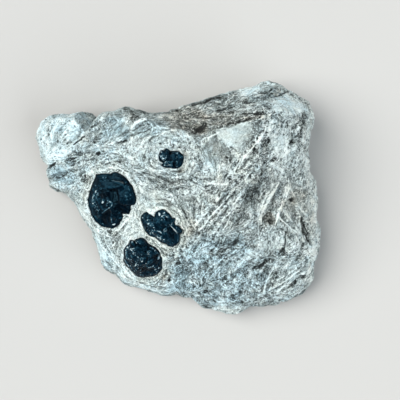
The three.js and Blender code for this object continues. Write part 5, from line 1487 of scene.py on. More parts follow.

# ---- crisp strokes: pale (up) and dark (down) lines, laid on the chart: strength, half width, points
# The dark (down) strokes are painted shade in cracks, pits and gaps between sheets.
STROKES = [
    # crest and middle
    (0.9, 1.5, (267, 127), (264, 133), (260, 139), (256, 144), (251, 149.5), (247, 155), (242, 160.5)), (0.9, 1, (246, 154), (241, 163), (238, 170), (236.5, 173.5)),
    (0.7, 1, (250, 160), (247, 166), (244, 169.5)), (0.6, 1, (265.5, 128), (269, 133), (270.5, 140)), (0.8, 1, (309, 127), (305.5, 134), (303, 137)),
    (0.6, 1, (227, 145), (231, 150), (232.5, 155), (233, 158)), (0.5, 1, (229, 147), (235, 151), (238.5, 156), (240, 160)),
    (0.9, 1, (206, 182.6), (213, 183.6), (217, 183.4), (222, 184.6), (225.5, 184)), (0.7, 1, (225, 185.5), (229, 182), (233, 179), (236, 176.5)),
    (0.55, 1, (239, 178), (235, 183), (231, 188)), (0.8, 1, (240, 190.5), (241.5, 193), (238, 198.5), (235, 203), (231, 207.5), (228, 211)),
    (0.9, 1, (238.5, 204.5), (233, 209.5), (228.5, 214.5), (225, 217.5), (222, 220.5)), (0.8, 1, (236, 207), (231.5, 214.5), (228, 221), (225.5, 226.5), (223, 230)),
    (0.9, 1, (224.5, 202), (219, 207), (214, 212), (210.5, 217), (207.5, 221), (204, 226), (199, 231)),
    (0.9, 1.2, (277.5, 188), (273.5, 192.5), (271, 198), (268, 203.5), (264.5, 208), (262.5, 213), (261.5, 219), (261, 224)),
    (0.8, 1.2, (286.5, 186), (285, 192), (283, 199), (281.5, 205), (279, 211), (277, 218), (275, 226)), (0.6, 1, (289, 188), (287.5, 193.5), (286, 198)),
    (0.6, 1, (279, 219), (284, 222), (290, 227), (295, 231), (299, 234.5)), (0.7, 1, (258, 204), (259, 211), (259.5, 219), (258.5, 227), (258, 234)),
    (0.5, 1, (296, 204), (301, 201.5), (305, 199.5)), (0.5, 1, (307, 159), (305.5, 164), (307.5, 170)), (0.6, 1, (301, 151), (298, 157), (296, 162)),
    (0.5, 1, (297, 178), (301, 175), (303, 170.5)), (0.7, 1, (247, 171), (244.5, 174.5), (244, 178), (247, 182.5), (250, 185.5)),
    (0.6, 1, (253, 176), (255.5, 180), (256, 185)), (0.5, 1, (257, 163), (262, 166), (266, 165), (270, 163)), (0.4, 1, (272, 163), (277, 167), (280, 168)),
    (0.55, 1, (283, 148), (281, 155), (279, 160), (277.5, 165)), (0.5, 1, (289, 150), (285, 154), (283, 156)), (0.5, 1, (242, 225), (246, 222), (249, 220.5)),
    (-0.6, 1, (254, 151), (256, 149), (259, 147.5)), (-0.7, 1, (250.5, 157), (251.5, 160)), (-0.7, 1, (254, 164), (256, 166.5), (258, 168)),
    (-0.7, 1, (249, 169.5), (252, 171.5)), (-0.5, 1, (250, 175), (251, 179)), (-0.6, 1, (243, 176), (243.5, 180), (245, 184), (248.5, 188)),
    (-0.5, 1, (240, 176), (235.5, 181), (231, 185)), (-0.7, 1, (226, 196), (225.5, 200)), (-0.6, 1, (220, 190), (219.5, 197), (221, 201)),
    (-0.6, 1, (234, 187.5), (232, 190)), (-0.6, 1, (243, 193), (241.5, 196)), (-0.5, 1, (229, 185.5), (226.5, 189)), (-0.6, 1, (228, 203.5), (227, 207), (230, 209.5)),
    (-0.5, 1, (222, 208), (217, 212), (213, 215), (210, 214)), (-0.5, 1, (236, 207.5), (230, 213.5), (224, 219), (221, 222)), (-0.7, 1, (227, 158), (228, 161)),
    (-0.6, 1, (272, 159), (274, 163)), (-0.6, 1, (291, 162), (293, 160.5)), (-0.6, 1, (283, 150), (285, 153)), (-0.7, 1.5, (300, 218), (303, 223), (305, 228), (308, 234)),
    (-0.6, 1, (234, 170), (233, 174)), (-0.5, 1, (236.5, 163), (234.5, 167)), (-0.6, 1, (238, 225), (243, 222.5), (245, 219)),
    # lower zone and lower right
    (0.6, 1, (210, 266), (214, 264.5), (219, 262), (223, 258), (226, 254), (227, 250)), (0.8, 1, (217, 270), (220, 266), (222, 262)),
    (0.7, 1, (188, 259), (192, 255), (196, 252), (200, 250)), (0.7, 1, (224, 290), (222, 295), (224, 300)), (0.6, 1, (214, 292), (218, 295), (221, 299), (224, 301)),
    (0.6, 1, (188.5, 288), (188.5, 284), (192, 282), (196, 284), (198, 288), (195, 291)), (0.7, 1, (245, 272), (248, 276), (249, 280)),
    (0.6, 1, (257, 273), (253, 278), (252, 284)), (0.7, 1, (250, 285), (255, 288), (260, 291)), (0.5, 1, (252, 290), (257, 294), (261, 297)),
    (0.6, 1, (266.5, 274), (267, 279), (265, 286), (264, 292)), (0.6, 1, (272, 271), (268.5, 276)),
    (0.8, 1, (299, 270.5), (293, 275), (287, 280), (281, 284), (275, 287.5), (269, 291), (265, 294)),
    (0.7, 1, (300, 273), (294, 277.5), (288, 283), (283, 287), (279, 291), (276, 296)), (0.5, 1, (296, 268), (290, 273), (285, 279)),
    (0.6, 1, (286, 290), (282, 295), (277, 299)), (0.7, 1, (307, 253), (309, 262), (311, 268), (309, 275), (304, 281)), (0.6, 1, (299, 241), (300, 247), (298, 254)),
    (0.6, 1, (283, 232), (289, 235), (293, 240)), (0.5, 1, (275, 240), (277, 246), (279, 250)), (0.5, 1, (268, 244), (271, 250), (273, 255), (279, 257)),
    (0.5, 1, (206, 250), (207, 256), (210, 262)), (0.6, 1, (211, 238), (216, 236), (219, 232)), (0.5, 1, (243, 245), (246, 250), (244, 257)),
    (0.4, 1, (285, 259), (292, 258), (299, 257)), (0.6, 1, (270, 303.5), (276, 302), (280, 299)), (0.5, 1, (236, 289), (234, 284), (238, 276), (239, 273)),
    (0.5, 1, (220, 284), (225, 282), (229, 279)), (0.4, 1, (200, 279), (204, 275), (208, 270)),
    (-0.6, 1, (209, 272), (205, 275), (202, 280), (206, 283), (210, 285)), (-0.6, 1, (206, 284), (212, 281), (218, 280)), (-0.7, 1, (231, 284), (233, 279), (236, 275)),
    (-0.8, 1.6, (252, 269), (257, 266)), (-0.8, 1.6, (262, 267), (265, 263), (268, 260.5)), (-0.7, 1.5, (233, 244), (236, 240.5), (239, 238)),
    (-0.6, 1, (235, 248), (240, 249), (244, 248)), (-0.6, 1, (223, 246), (225, 241), (227, 237)), (-0.7, 1, (284, 236), (286, 241), (285, 247), (281, 252), (278.5, 255)),
    (-0.5, 1, (298, 241), (294, 244), (290, 248)), (-0.5, 1.5, (215, 257), (218, 259), (222, 256)), (-0.6, 1.6, (238, 290), (241, 294), (238, 296)),
    (-0.7, 1, (239, 302), (243, 303)), (-0.5, 1, (196, 291), (192, 292), (188, 290)), (-0.45, 1.2, (268, 290), (270, 283), (272, 277), (275, 273)),
    (-0.7, 1.3, (300, 278), (304, 276)), (-0.6, 1.2, (290, 284), (294, 281)), (-0.5, 1, (254, 284), (258, 286)),
    # round the small nodule
    (0.8, 1, (132, 127), (137, 123), (143, 120.5), (150, 118.5), (153, 120), (156, 124)), (0.6, 1, (155, 124), (159, 127), (164, 128), (169, 128.5)),
    (0.5, 1, (147, 121), (151, 123), (153, 127), (152, 132)), (0.5, 1, (132, 138), (131, 145), (133, 152)), (0.5, 1, (145, 137), (142, 142), (141, 147)),
    (0.7, 1, (146, 138), (152, 136), (157, 134.5), (163, 133), (170, 130.5), (176, 130)), (0.5, 1, (157, 131), (157, 138), (155, 143)),
    (0.7, 1, (113, 115), (116, 119), (119, 121)), (0.6, 1, (121, 114), (124, 116.5), (125, 119)), (0.6, 1, (125, 164), (130, 168), (136, 170), (143, 171), (149, 173)),
    (0.8, 1, (149, 167), (153, 170), (157, 171), (163, 170.5)), (0.7, 1, (176, 176.5), (181, 176), (185, 173.5), (188, 171)), (0.5, 1, (183, 178), (187, 176), (190, 172)),
    (0.5, 1, (184, 153), (188, 157), (188, 163), (184, 168.5)), (0.45, 1, (196, 153), (195, 160), (192, 167), (189, 173)), (0.4, 1, (196, 165), (200, 170), (204, 175)),
    (0.4, 1, (183, 134), (186, 140), (190, 145)), (0.7, 1, (202, 147), (201, 142), (204, 138), (210, 137), (216, 134)),
    (0.5, 1, (191, 185.5), (197, 187), (202, 191), (205, 196)), (0.5, 1, (119, 168), (125, 172), (131, 176)), (0.4, 1, (173, 111), (180, 117), (185, 121)),
    (0.5, 1, (177, 107), (184, 110), (189, 113)), (0.4, 1, (175, 123), (181, 125), (184, 129)), (0.5, 1, (205, 176), (208, 178), (207, 181)),
    (0.4, 1, (118, 151), (122, 155), (128, 158), (135, 160)),
    (-0.6, 1.2, (117, 143), (121, 142), (125, 140.5)), (-0.4, 1, (119, 139), (124, 136), (128, 133), (131, 131)),
    (-0.5, 1, (137, 133), (143, 132.5), (148, 130), (151, 128)), (-0.9, 1.2, (142, 112), (145, 114), (149, 115)), (-0.8, 1, (124, 107.5), (129, 108)),
    (-0.5, 1, (112, 154), (115, 153.5), (121, 155), (124, 156.5)), (-0.6, 1, (132, 165), (136, 166.5)), (-0.6, 1, (137, 173), (142, 175), (146, 173.5)),
    (-0.5, 1, (147, 166), (150, 170)), (-0.6, 1, (178, 148.5), (181, 147.5)), (-0.5, 1, (160, 143.5), (162, 143.5)), (-0.5, 1, (149, 188), (154, 190)),
    (-0.4, 1, (161, 191), (164, 192), (167, 195)), (-0.5, 1, (180, 114), (184, 119), (189, 121)), (-0.8, 1.5, (194, 129), (198, 131), (201, 128), (204, 123)),
    (-0.4, 1, (195, 178), (199, 178), (201, 173)), (-0.45, 1, (178, 180), (185, 179), (192, 181.5), (198, 184.5)),
    # nub and left side
    (0.6, 1, (84.5, 135.5), (80, 140), (76, 144)), (0.5, 1, (79.3, 158), (85, 153)), (0.5, 1, (87, 162), (93.6, 166.4), (100, 167), (103, 165)),
    (0.6, 1, (92, 144), (96.4, 144.3), (99.3, 149.3), (100.7, 152)), (0.5, 1, (75, 163.6), (80, 159.3)), (0.6, 1, (46.4, 163.6), (53.6, 163), (56.4, 159.3)),
    (0.5, 1, (56.4, 159.3), (60.7, 159.3), (65, 158)), (0.5, 1, (42, 122), (39.3, 129.3), (37, 138)), (0.4, 1, (53.6, 118.6), (50, 125.7), (49.3, 132)),
    (0.4, 1, (59.3, 118), (55, 125), (53.6, 132)), (0.4, 1, (71.4, 135), (65, 145), (60.7, 149.3), (60, 155.7), (65, 158)),
    (0.5, 1, (102, 116.4), (98.6, 121.4), (100, 123.6), (102, 125.7)), (0.8, 1, (113.6, 114.3), (117, 118.6), (118.6, 122)), (0.6, 1, (108, 115), (110.7, 118.6)),
    (0.4, 1, (113.6, 135), (109.3, 138.6), (108.6, 142)), (0.6, 1.3, (96.4, 172), (103.6, 170), (110.7, 167), (114.3, 168.6)),
    (0.5, 1, (88, 168.6), (93.6, 173), (94.3, 177), (92, 183), (90, 188)), (0.5, 1, (75, 180), (79.3, 177)),
    (-0.7, 1, (80, 140.5), (77, 142.5), (74.5, 144.5)), (-0.45, 1.4, (81.5, 131.5), (80, 135), (78, 138)), (-0.8, 1.3, (95.7, 154), (100, 152)),
    (-0.5, 1, (76.4, 154.3), (81.4, 150.7)), (-0.5, 1, (95.7, 169.3), (103, 165.4)), (-0.5, 2, (71, 157), (74, 163)), (-0.9, 1.3, (48, 169.3), (53, 166.4), (55.7, 163)),
    (-0.5, 1, (49.3, 123.6), (48, 133.6), (48.6, 136.4)), (-0.5, 1.2, (96.4, 139.3), (102, 139.3)), (-0.6, 1.3, (85, 175.7), (84.3, 181.4)),
    (-0.6, 1, (114.3, 163.6), (113.7, 166)), (-0.45, 1, (75.2, 115.7), (76.8, 115.7)), (-0.45, 1, (54.9, 142), (56.5, 142)), (-0.45, 1, (64.9, 139.3), (66.5, 139.3)),
    (-0.45, 1, (59.9, 130.7), (61.5, 130.7)), (-0.45, 1, (52.2, 152), (53.8, 152)), (-0.45, 1, (48.5, 157), (50.1, 157)), (-0.45, 1, (109.2, 145.7), (110.8, 145.7)),
    (-0.45, 1, (99.9, 143), (101.5, 143)), (-0.45, 1, (66.2, 175.7), (67.8, 175.7)),
    # lower left rim and the layers between the nodules
    (0.6, 1, (90.7, 225), (95.7, 233.6), (98.6, 241.4), (103.6, 248.6), (109.3, 255), (115, 261.4), (120.7, 268), (126.4, 273)),
    (0.7, 1, (105, 242), (109.3, 248.6), (115, 258), (119.3, 263.6), (125, 270), (131.4, 276.4)), (0.6, 1, (103, 233), (105.7, 235.7), (110.7, 237), (113.6, 238.6)),
    (0.6, 1, (128, 219.3), (118, 230.7)), (0.5, 1, (120.7, 226.4), (115, 231.4), (112, 235)), (0.5, 1, (129.3, 225.7), (125, 230), (120.7, 235)),
    (0.7, 1, (139.3, 221.4), (141.4, 228), (143.6, 233.6), (148, 237), (154.3, 242), (160, 247), (165, 251.4), (170, 254.3)),
    (0.5, 1, (143.6, 238.6), (150, 244.3), (157, 248.6), (160.7, 253)), (0.6, 1, (160, 255), (165, 258.6), (168.6, 263), (167, 267)),
    (0.5, 1, (162, 260.7), (163.6, 265), (161.4, 270), (158, 275), (157, 278.6)), (0.5, 1, (184.3, 230), (186.4, 238), (184.3, 246.4), (181.4, 253.6)),
    (0.65, 1, (192, 250.7), (187, 256.4), (186.4, 259.3), (192, 266.4)), (0.6, 1, (174.3, 273.6), (172, 281.4), (174.3, 287), (178, 292)),
    (0.5, 1, (135, 281.4), (142, 285.7), (149.3, 288.6), (155.7, 290.7)), (0.4, 1, (160.7, 285), (165, 287), (170, 286.4)),
    (-0.6, 1, (90, 225), (93, 230), (95, 234.3)), (-0.35, 1, (102, 248), (108, 255), (113.6, 261.4)), (-0.5, 1, (125, 225.7), (120.7, 229.3), (117, 233.6)),
    (-0.5, 1, (150.7, 239.3), (155.7, 241.4), (161.4, 245.7), (168, 250.7)), (-0.8, 1.3, (105.7, 230), (111.8, 234)), (-0.7, 1, (111.8, 229.3), (110.7, 234)),
    (-0.4, 1, (113, 245.7), (115, 248)), (-0.5, 1.5, (161, 250), (165, 255)), (-0.8, 1.5, (167.8, 280.7), (169.4, 280.7)), (-0.7, 1, (182.8, 227.5), (184.4, 227.5)),
    (-0.6, 1, (181, 232), (180.7, 234)), (-0.6, 1, (180.7, 247.2), (180.7, 248.8)), (-0.4, 1, (168, 268), (169.3, 271.4)),
    # far side and upper right
    (-0.9, 1.2, (203, 103.6), (208, 100.7), (212, 99.3), (217, 98.2)), (-0.6, 1, (260.7, 98.2), (267, 95.4)), (-0.7, 1, (243, 102), (247, 101.4)),
    (-0.7, 1, (251.4, 101.8), (253, 101)), (-0.7, 1, (252, 107), (255.7, 105.7)), (-0.5, 1, (245.7, 107.5), (251.4, 107)), (-0.5, 1, (228, 112.5), (234.3, 111.8)),
    (-0.5, 1, (240, 114), (248.6, 114), (254.3, 113.2)), (-0.9, 1, (254.3, 114.3), (260.7, 114.3), (265.7, 114.6)), (-0.4, 1, (263, 105.7), (268.6, 108.6)),
    (-0.4, 1, (275.7, 107), (283, 105)), (-0.6, 1, (272, 111.8), (275.7, 112.5)), (-0.35, 1, (209.3, 121.8), (220, 120.4), (230, 120), (240, 118)),
    (-0.7, 1, (205, 125.7), (207, 123.6)), (-0.6, 1, (212, 130.7), (216.4, 133.6)), (-0.5, 1, (279.3, 120), (284.3, 123.6)), (-0.6, 1, (287, 121.4), (288, 127)),
    (-0.7, 1.5, (303, 125), (300.7, 130.7), (298.6, 135)), (-0.5, 1, (293, 120.7), (296.4, 119.3)), (-0.6, 1, (305.7, 115.7), (308.6, 118.6)),
    (-0.6, 1, (264.6, 120.7), (265, 124.3)),
    (0.8, 1, (260, 118.6), (265.7, 115.7), (272, 114)), (0.6, 1, (264.3, 115), (268.6, 111.4), (271.4, 112)), (0.6, 1, (277, 116.4), (279.3, 118)),
    (0.8, 1, (291.4, 116.4), (296.4, 114.3), (301.4, 111.4)), (0.7, 1, (295.7, 108), (298.6, 110.7), (302, 112)), (0.5, 1, (235.7, 125.7), (241.4, 123.6), (245.7, 122)),
    (0.7, 1, (284.3, 131.4), (280.7, 132)), (0.5, 1, (256, 92), (262, 90), (268, 88)), (0.4, 1, (250, 98), (255, 94.3)), (0.4, 1, (222, 119), (230, 117.5)),
    (0.3, 1, (210, 114), (225, 113.5), (240, 112.8)),
]
LAYERS = 8
taken = np.zeros((LAYERS, 400, 400), bool)
disc = [(a, b) for a in range(-6, 7) for b in range(-6, 7) if a * a + b * b <= 36]
layer_points = [[] for _ in range(LAYERS)]


def lay(points, strength, width):
    """Puts a stroke on the first layer that has room round it."""
    pts = np.array(points, float)
    size = np.hypot(*np.diff(pts, axis=0).T)
    total = size.sum()
    where = np.concatenate([[0], np.cumsum(size)])
    t = np.linspace(0, total, max(3, int(total / 0.5)))
    u, v = np.interp(t, where, pts[:, 0]), np.interp(t, where, pts[:, 1])
    for _ in range(3):
        u[1:-1] = (u[:-2] + 2 * u[1:-1] + u[2:]) / 4
        v[1:-1] = (v[:-2] + 2 * v[1:-1] + v[2:]) / 4
    du, dv = np.gradient(u), np.gradient(v)
    n = np.hypot(du, dv) + 1e-9
    iu, iv = np.clip(u.round().astype(int), 6, 393), np.clip(v.round().astype(int), 6, 393)
    for k in range(LAYERS):
        if not taken[k, iv, iu].any():
            break
    else:
        return False
    fade = np.clip(np.minimum(t, total - t) / 1.6 + 0.35, 0, 1)
    layer_points[k] += list(zip(u, v, du / n, dv / n, strength * fade, np.full(len(u), width)))
    for a, b in disc:
        taken[k, iv + a, iu + b] = True
    return True


for g, w, *pts in STROKES:
    lay(pts, g, w)
for path in FILAMENTS:
    g = 0.30 * path[0][2]
    lay([(a, b) for a, b, _ in (path[::3] if len(path) > 8 else path)], g, 0.8)
FU, FV = chart(F[:, 0], F[:, 1], F[:, 2])
FN = normals(rock.data)[:, 2]
seen = np.nonzero(FN > 0.15)[0]
flat_part = smooth(FN, 0.2, 0.5)
for k in range(LAYERS):
    pts = np.array(layer_points[k])
    tree = kdtree.KDTree(len(pts))
    for i, q in enumerate(pts):
        tree.insert((q[0], q[1], 0), i)
    tree.balance()
    hit = np.array([tree.find((FU[i], FV[i], 0))[1] for i in seen])
    q = pts[hit]
    du, dv = FU[seen] - q[:, 0], FV[seen] - q[:, 1]
    side_way = q[:, 2] * dv - q[:, 3] * du
    past = np.abs(q[:, 2] * du + q[:, 3] * dv)
    far = np.hypot(du, dv)
    side_of, weight = np.full(len(F), 9.0), np.zeros(len(F))
    side_of[seen] = side_way / (0.62 * q[:, 5])
    weight[seen] = q[:, 4] * smooth(-far, -3.0, -2.0) * np.exp(-(np.maximum(0, past - 0.4) / 0.7) ** 2) * flat_part[seen]
    attribute(rock.data, "side%d" % k, np.clip(side_of, -9, 9))
    attribute(rock.data, "line%d" % k, weight)
F[:, 2] = np.maximum(F[:, 2], 0)
set_coords(rock.data, F * 0.001)
tears = []
for name, spec in TEARS.items():
    ob = detailed_tear(name, spec)
    set_coords(ob.data, coords(ob.data) * 0.001)
    tears.append((ob, name))

for ob in [rock] + [o for o, _ in tears]:
    ob.data.polygons.foreach_set("use_smooth", np.ones(len(ob.data.polygons), bool))


# ---------------------------------------------------------------- materials
def simple(name, color, rough):
    mat = bpy.data.materials.new(name)
    mat.use_nodes = True
    b = mat.node_tree.nodes["Principled BSDF"]
    b.inputs["Base Color"].default_value = (*color, 1)
    b.inputs["Roughness"].default_value = rough
    return mat


class Tree:
    """Short forms for building a shader."""

    def __init__(self, name):
        self.mat = bpy.data.materials.new(name)
        self.mat.use_nodes = True
        self.nodes, self.links = self.mat.node_tree.nodes, self.mat.node_tree.links
        self.shader = self.nodes["Principled BSDF"]

    def put(self, socket, value):
        if isinstance(value, bpy.types.NodeSocket):
            self.links.new(value, socket)
        else:
            socket.default_value = value

    def attr(self, name):
        n = self.nodes.new("ShaderNodeAttribute")
        n.attribute_name = name
        return n.outputs["Fac"]

    def math(self, op, a, b=0.0, c=None, clamp=False):
        n = self.nodes.new("ShaderNodeMath")
        n.operation, n.use_clamp = op, clamp
        self.put(n.inputs[0], a)
        self.put(n.inputs[1], b)
        if c is not None:
            self.put(n.inputs[2], c)
        return n.outputs[0]

    def ramp(self, fac, stops):
        n = self.nodes.new("ShaderNodeValToRGB")
        e = n.color_ramp.elements
        while len(e) < len(stops):
            e.new(0.5)
        for i, (p, c) in enumerate(stops):
            e[i].position = p
            e[i].color = (*c, 1) if len(c) == 3 else c
        self.put(n.inputs[0], fac)
        return n.outputs[0]

    def mix(self, fac, a, b, blend="MIX"):
        n = self.nodes.new("ShaderNodeMix")
        n.data_type, n.blend_type = "RGBA", blend
        self.put(n.inputs[0], fac)
        self.put(n.inputs[6], a)
        self.put(n.inputs[7], b)
        return n.outputs[2]

    def place(self, turn=0.0, scale=(1, 1, 1), move=0.0):
        co = self.nodes.new("ShaderNodeTexCoord")
        n = self.nodes.new("ShaderNodeMapping")
        n.vector_type = "TEXTURE"
        n.inputs["Location"].default_value = (move, 0.7 * move, 0.3 * move)
        n.inputs["Rotation"].default_value = (0, 0, math.radians(turn))
        n.inputs["Scale"].default_value = scale
        self.links.new(co.outputs["Object"], n.inputs["Vector"])
        return n.outputs[0]

    def noise(self, vector, scale, detail=2.0, rough=0.5, distort=0.0, kind="FBM"):
        n = self.nodes.new("ShaderNodeTexNoise")
        n.noise_type = kind
        self.put(n.inputs["Vector"], vector)
        n.inputs["Scale"].default_value = scale
        n.inputs["Detail"].default_value = detail
        n.inputs["Roughness"].default_value = rough
        n.inputs["Distortion"].default_value = distort
        return n.outputs["Fac"]

    def shift(self, vector, scale, amount):
        n = self.nodes.new("ShaderNodeTexNoise")
        self.put(n.inputs["Vector"], vector)
        n.inputs["Scale"].default_value = scale
        n.inputs["Detail"].default_value = 2.0
        m = self.nodes.new("ShaderNodeVectorMath")
        m.operation = "MULTIPLY_ADD"
        self.put(m.inputs[0], n.outputs["Color"])
        m.inputs[1].default_value = (amount, amount, amount)
        self.put(m.inputs[2], vector)
        return m.outputs[0]

    def chips(self, vector, scale):
        """A random shade per cell, and the height in metres of a chip that leans by that cell's random slope."""
        n = self.nodes.new("ShaderNodeTexVoronoi")
        self.put(n.inputs["Vector"], vector)
        n.inputs["Scale"].default_value = scale
        r = self.nodes.new("ShaderNodeVectorMath")
        r.operation = "SUBTRACT"
        self.put(r.inputs[0], vector)
        self.put(r.inputs[1], n.outputs["Position"])
        c = self.nodes.new("ShaderNodeVectorMath")
        c.operation = "SUBTRACT"
        self.put(c.inputs[0], n.outputs["Color"])
        c.inputs[1].default_value = (0.5, 0.5, 0.5)
        d = self.nodes.new("ShaderNodeVectorMath")
        d.operation = "DOT_PRODUCT"
        self.put(d.inputs[0], r.outputs[0])
        self.put(d.inputs[1], c.outputs[0])
        split = self.nodes.new("ShaderNodeSeparateColor")
        self.put(split.inputs[0], n.outputs["Color"])
        return split.outputs[0], d.outputs["Value"]

    def dots(self, vector, scale):
        """Distance to the nearest scattered point, and that point's random shade."""
        n = self.nodes.new("ShaderNodeTexVoronoi")
        self.put(n.inputs["Vector"], vector)
        n.inputs["Scale"].default_value = scale
        split = self.nodes.new("ShaderNodeSeparateColor")
        self.put(split.inputs[0], n.outputs["Color"])
        return n.outputs["Distance"], split.outputs[1]

    def cells(self, vector, scale, feature="F1"):
        n = self.nodes.new("ShaderNodeTexVoronoi")
        n.feature = feature
        self.put(n.inputs["Vector"], vector)
        n.inputs["Scale"].default_value = scale
        return n.outputs["Distance"]


def perlite_material():
    t = Tree("perlite")
    flat = t.place()
    tone, rough = t.attr("tone"), t.attr("rough")
    grain = t.noise(flat, 1250.0, 3.0, 0.7, 0.5)
    speck = t.noise(flat, 1850.0, 1.0, 0.6, 0.8)
    fine = t.noise(flat, 900.0, 2.0)
    busy = t.math("MULTIPLY_ADD", t.noise(t.place(0.0, (1, 1, 1), 0.83), 105.0, 2.0), 3.4, -1.2, clamp=True)
    contrast = t.math("MULTIPLY", t.math("MULTIPLY_ADD", rough, 1.0, 0.40), t.math("MULTIPLY_ADD", busy, 0.75, 0.60))
    bent = t.shift(flat, 420.0, 0.0012)
    patch = t.math("MULTIPLY_ADD", t.noise(flat, 170.0, 2.0), 3.0, -1.0, clamp=True)
    patch2 = t.math("MULTIPLY_ADD", t.noise(t.place(0.0, (1, 1, 1), 0.31), 230.0, 2.0), 3.2, -1.1, clamp=True)

    def strands(x, white, dark, weight, pale=0.42, black=0.24):
        """Overlapping thin sheets: each rises to a pale edge at a whole number of x and drops to a dark gap behind it;
        the dark gap is painted shadow of that edge.
        """
        f = t.math("FRACT", t.math("MULTIPLY_ADD", fine, 0.8, x))
        up = t.math("DIVIDE", t.math("SUBTRACT", f, 1 - pale), pale, clamp=True)
        down = t.math("SUBTRACT", 1.0, t.math("DIVIDE", f, black), clamp=True)
        part = t.math("MULTIPLY_ADD", t.math("POWER", up, 1.6), white, t.math("MULTIPLY", down, -dark))
        return t.math("MULTIPLY", part, weight)

    def curls(scale, move, distort, width):
        n = t.noise(t.place(0.0, (1, 1, 1), move), scale, 2.0, 0.55, distort)
        return t.math("MAXIMUM", t.math("SUBTRACT", 1.0, t.math("DIVIDE", t.math("ABSOLUTE", t.math("SUBTRACT", n, 0.5)), width)), 0.0)

    level = t.math("MULTIPLY_ADD", t.math("SUBTRACT", grain, 0.5), t.math("MULTIPLY", contrast, 0.20), t.math("SUBTRACT", tone, 0.03))
    level = t.math("MULTIPLY_ADD", t.math("SUBTRACT", speck, 0.5), t.math("MULTIPLY", contrast, t.math("MULTIPLY_ADD", patch2, 0.55, 0.25)), level)
    # strands that follow the guide lines
    x = t.math("MULTIPLY_ADD", t.attr("broad"), 0.9, t.math("MULTIPLY", t.noise(flat, 420.0, 2.0), 1.3))
    level = t.math("ADD", level, strands(x, 0.72, 0.60, t.math("MULTIPLY", t.attr("w_flow"), t.math("MULTIPLY_ADD", patch, 0.7, 0.35)), 0.28, 0.17))
    x = t.math("MULTIPLY_ADD", t.attr("thin"), 0.5, t.math("MULTIPLY", t.noise(flat, 600.0, 2.0), 1.0))
    level = t.math("ADD", level, strands(x, 0.50, 0.46, t.math("MULTIPLY", t.attr("w_flow"), t.math("MULTIPLY_ADD", patch2, 0.7, 0.3)), 0.36, 0.22))
    # sheets that wrap the nodules
    wobble = t.noise(t.place(0.0, (1, 1, 1), 0.19), 330.0, 2.0)
    x = t.math("MULTIPLY_ADD", t.attr("wrap"), 0.20, t.math("MULTIPLY", wobble, 2.2))
    level = t.math("ADD", level, strands(x, 0.42, 0.42, t.math("MULTIPLY", t.attr("w_wrap"), t.math("MULTIPLY_ADD", patch2, 0.5, 0.05))))
    x = t.math("MULTIPLY_ADD", t.attr("wrap"), -0.28, t.math("MULTIPLY", t.noise(flat, 420.0, 2.0), 2.4))
    level = t.math("ADD", level, strands(x, 0.32, 0.34, t.math("MULTIPLY", t.attr("w_wrap"), t.math("MULTIPLY_ADD", patch, 0.4, 0.1))))
    # swirling sheets
    for scale, move, many, gate in ((120.0, 0.11, 9.0, patch), (230.0, 0.47, 8.0, patch2)):
        x = t.math("MULTIPLY", t.noise(t.place(0.0, (1, 1, 1), move), scale, 2.0, 0.45, 0.9), many)
        level = t.math("ADD", level, strands(x, 0.38, 0.38, t.math("MULTIPLY", t.attr("w_swirl"), t.math("MULTIPLY_ADD", gate, 0.5, 0.08))))
    # drawn-out strands, each set along its own direction
    for name, turn, size, many, white, dark, gate in (
            ("w_crest", 52, (0.0110, 0.0022, 0.004), 3.2, 0.50, 0.46, patch2),
            ("w_crest", 47, (0.0060, 0.0014, 0.003), 2.0, 0.40, 0.38, patch),
            ("w_north", 12, (0.0150, 0.0020, 0.004), 3.2, 0.36, 0.56, patch2),
            ("w_low", 31, (0.0090, 0.0020, 0.004), 3.2, 0.40, 0.40, patch)):
        x = t.math("MULTIPLY", t.noise(t.place(turn, size, 0.01 * turn), 1.0, 2.0, 0.5, 0.5), many)
        level = t.math("ADD", level, strands(x, white, dark, t.math("MULTIPLY", t.attr(name), t.math("MULTIPLY_ADD", gate, 0.45, 0.12))))
    # chips with pale edges
    chip = t.math("MULTIPLY", contrast, t.math("MULTIPLY_ADD", t.attr("w_chip"), 0.8, 0.2))
    for scale, tint, rim in ((430.0, 0.24, 0.22), (950.0, 0.36, 0.22)):
        shade, place = t.chips(bent, scale)
        shell = t.math("SUBTRACT", 1.0, t.math("MULTIPLY", t.cells(bent, scale, "DISTANCE_TO_EDGE"), 9.0), clamp=True)
        level = t.math("MULTIPLY_ADD", t.math("SUBTRACT", shade, 0.5), t.math("MULTIPLY", chip, tint), level)
        level = t.math("MULTIPLY_ADD", shell, t.math("MULTIPLY", t.math("MULTIPLY", chip, patch2), rim), level)
    # pale flecks and dark pinholes; the dark pinholes are painted shade
    for scale, gain in ((1150.0, 0.42), (1700.0, 0.40)):
        near, shade = t.dots(bent, scale)
        dot = t.math("MULTIPLY", t.math("SUBTRACT", 0.46, near), 4.0, clamp=True)
        pale = t.math("MULTIPLY", t.math("SUBTRACT", shade, 0.62), 6.0, clamp=True)
        dark = t.math("MULTIPLY", t.math("SUBTRACT", 0.16, shade), 9.0, clamp=True)
        both = t.math("MULTIPLY_ADD", dark, -0.75, pale)
        level = t.math("MULTIPLY_ADD", t.math("MULTIPLY", dot, both), t.math("MULTIPLY", t.attr("w_fleck"), gain), level)
    for scale, move, distort, width, gain in (
            (560.0, 0.23, 2.2, 0.070, 0.34), (1000.0, 0.37, 1.8, 0.09, 0.24), (430.0, 0.51, 2.4, 0.050, -0.22),
            (820.0, 0.67, 2.0, 0.070, -0.24), (1300.0, 0.73, 1.6, 0.08, -0.16)):
        level = t.math("MULTIPLY_ADD", curls(scale, move, distort, width), t.math("MULTIPLY", contrast, gain), level)
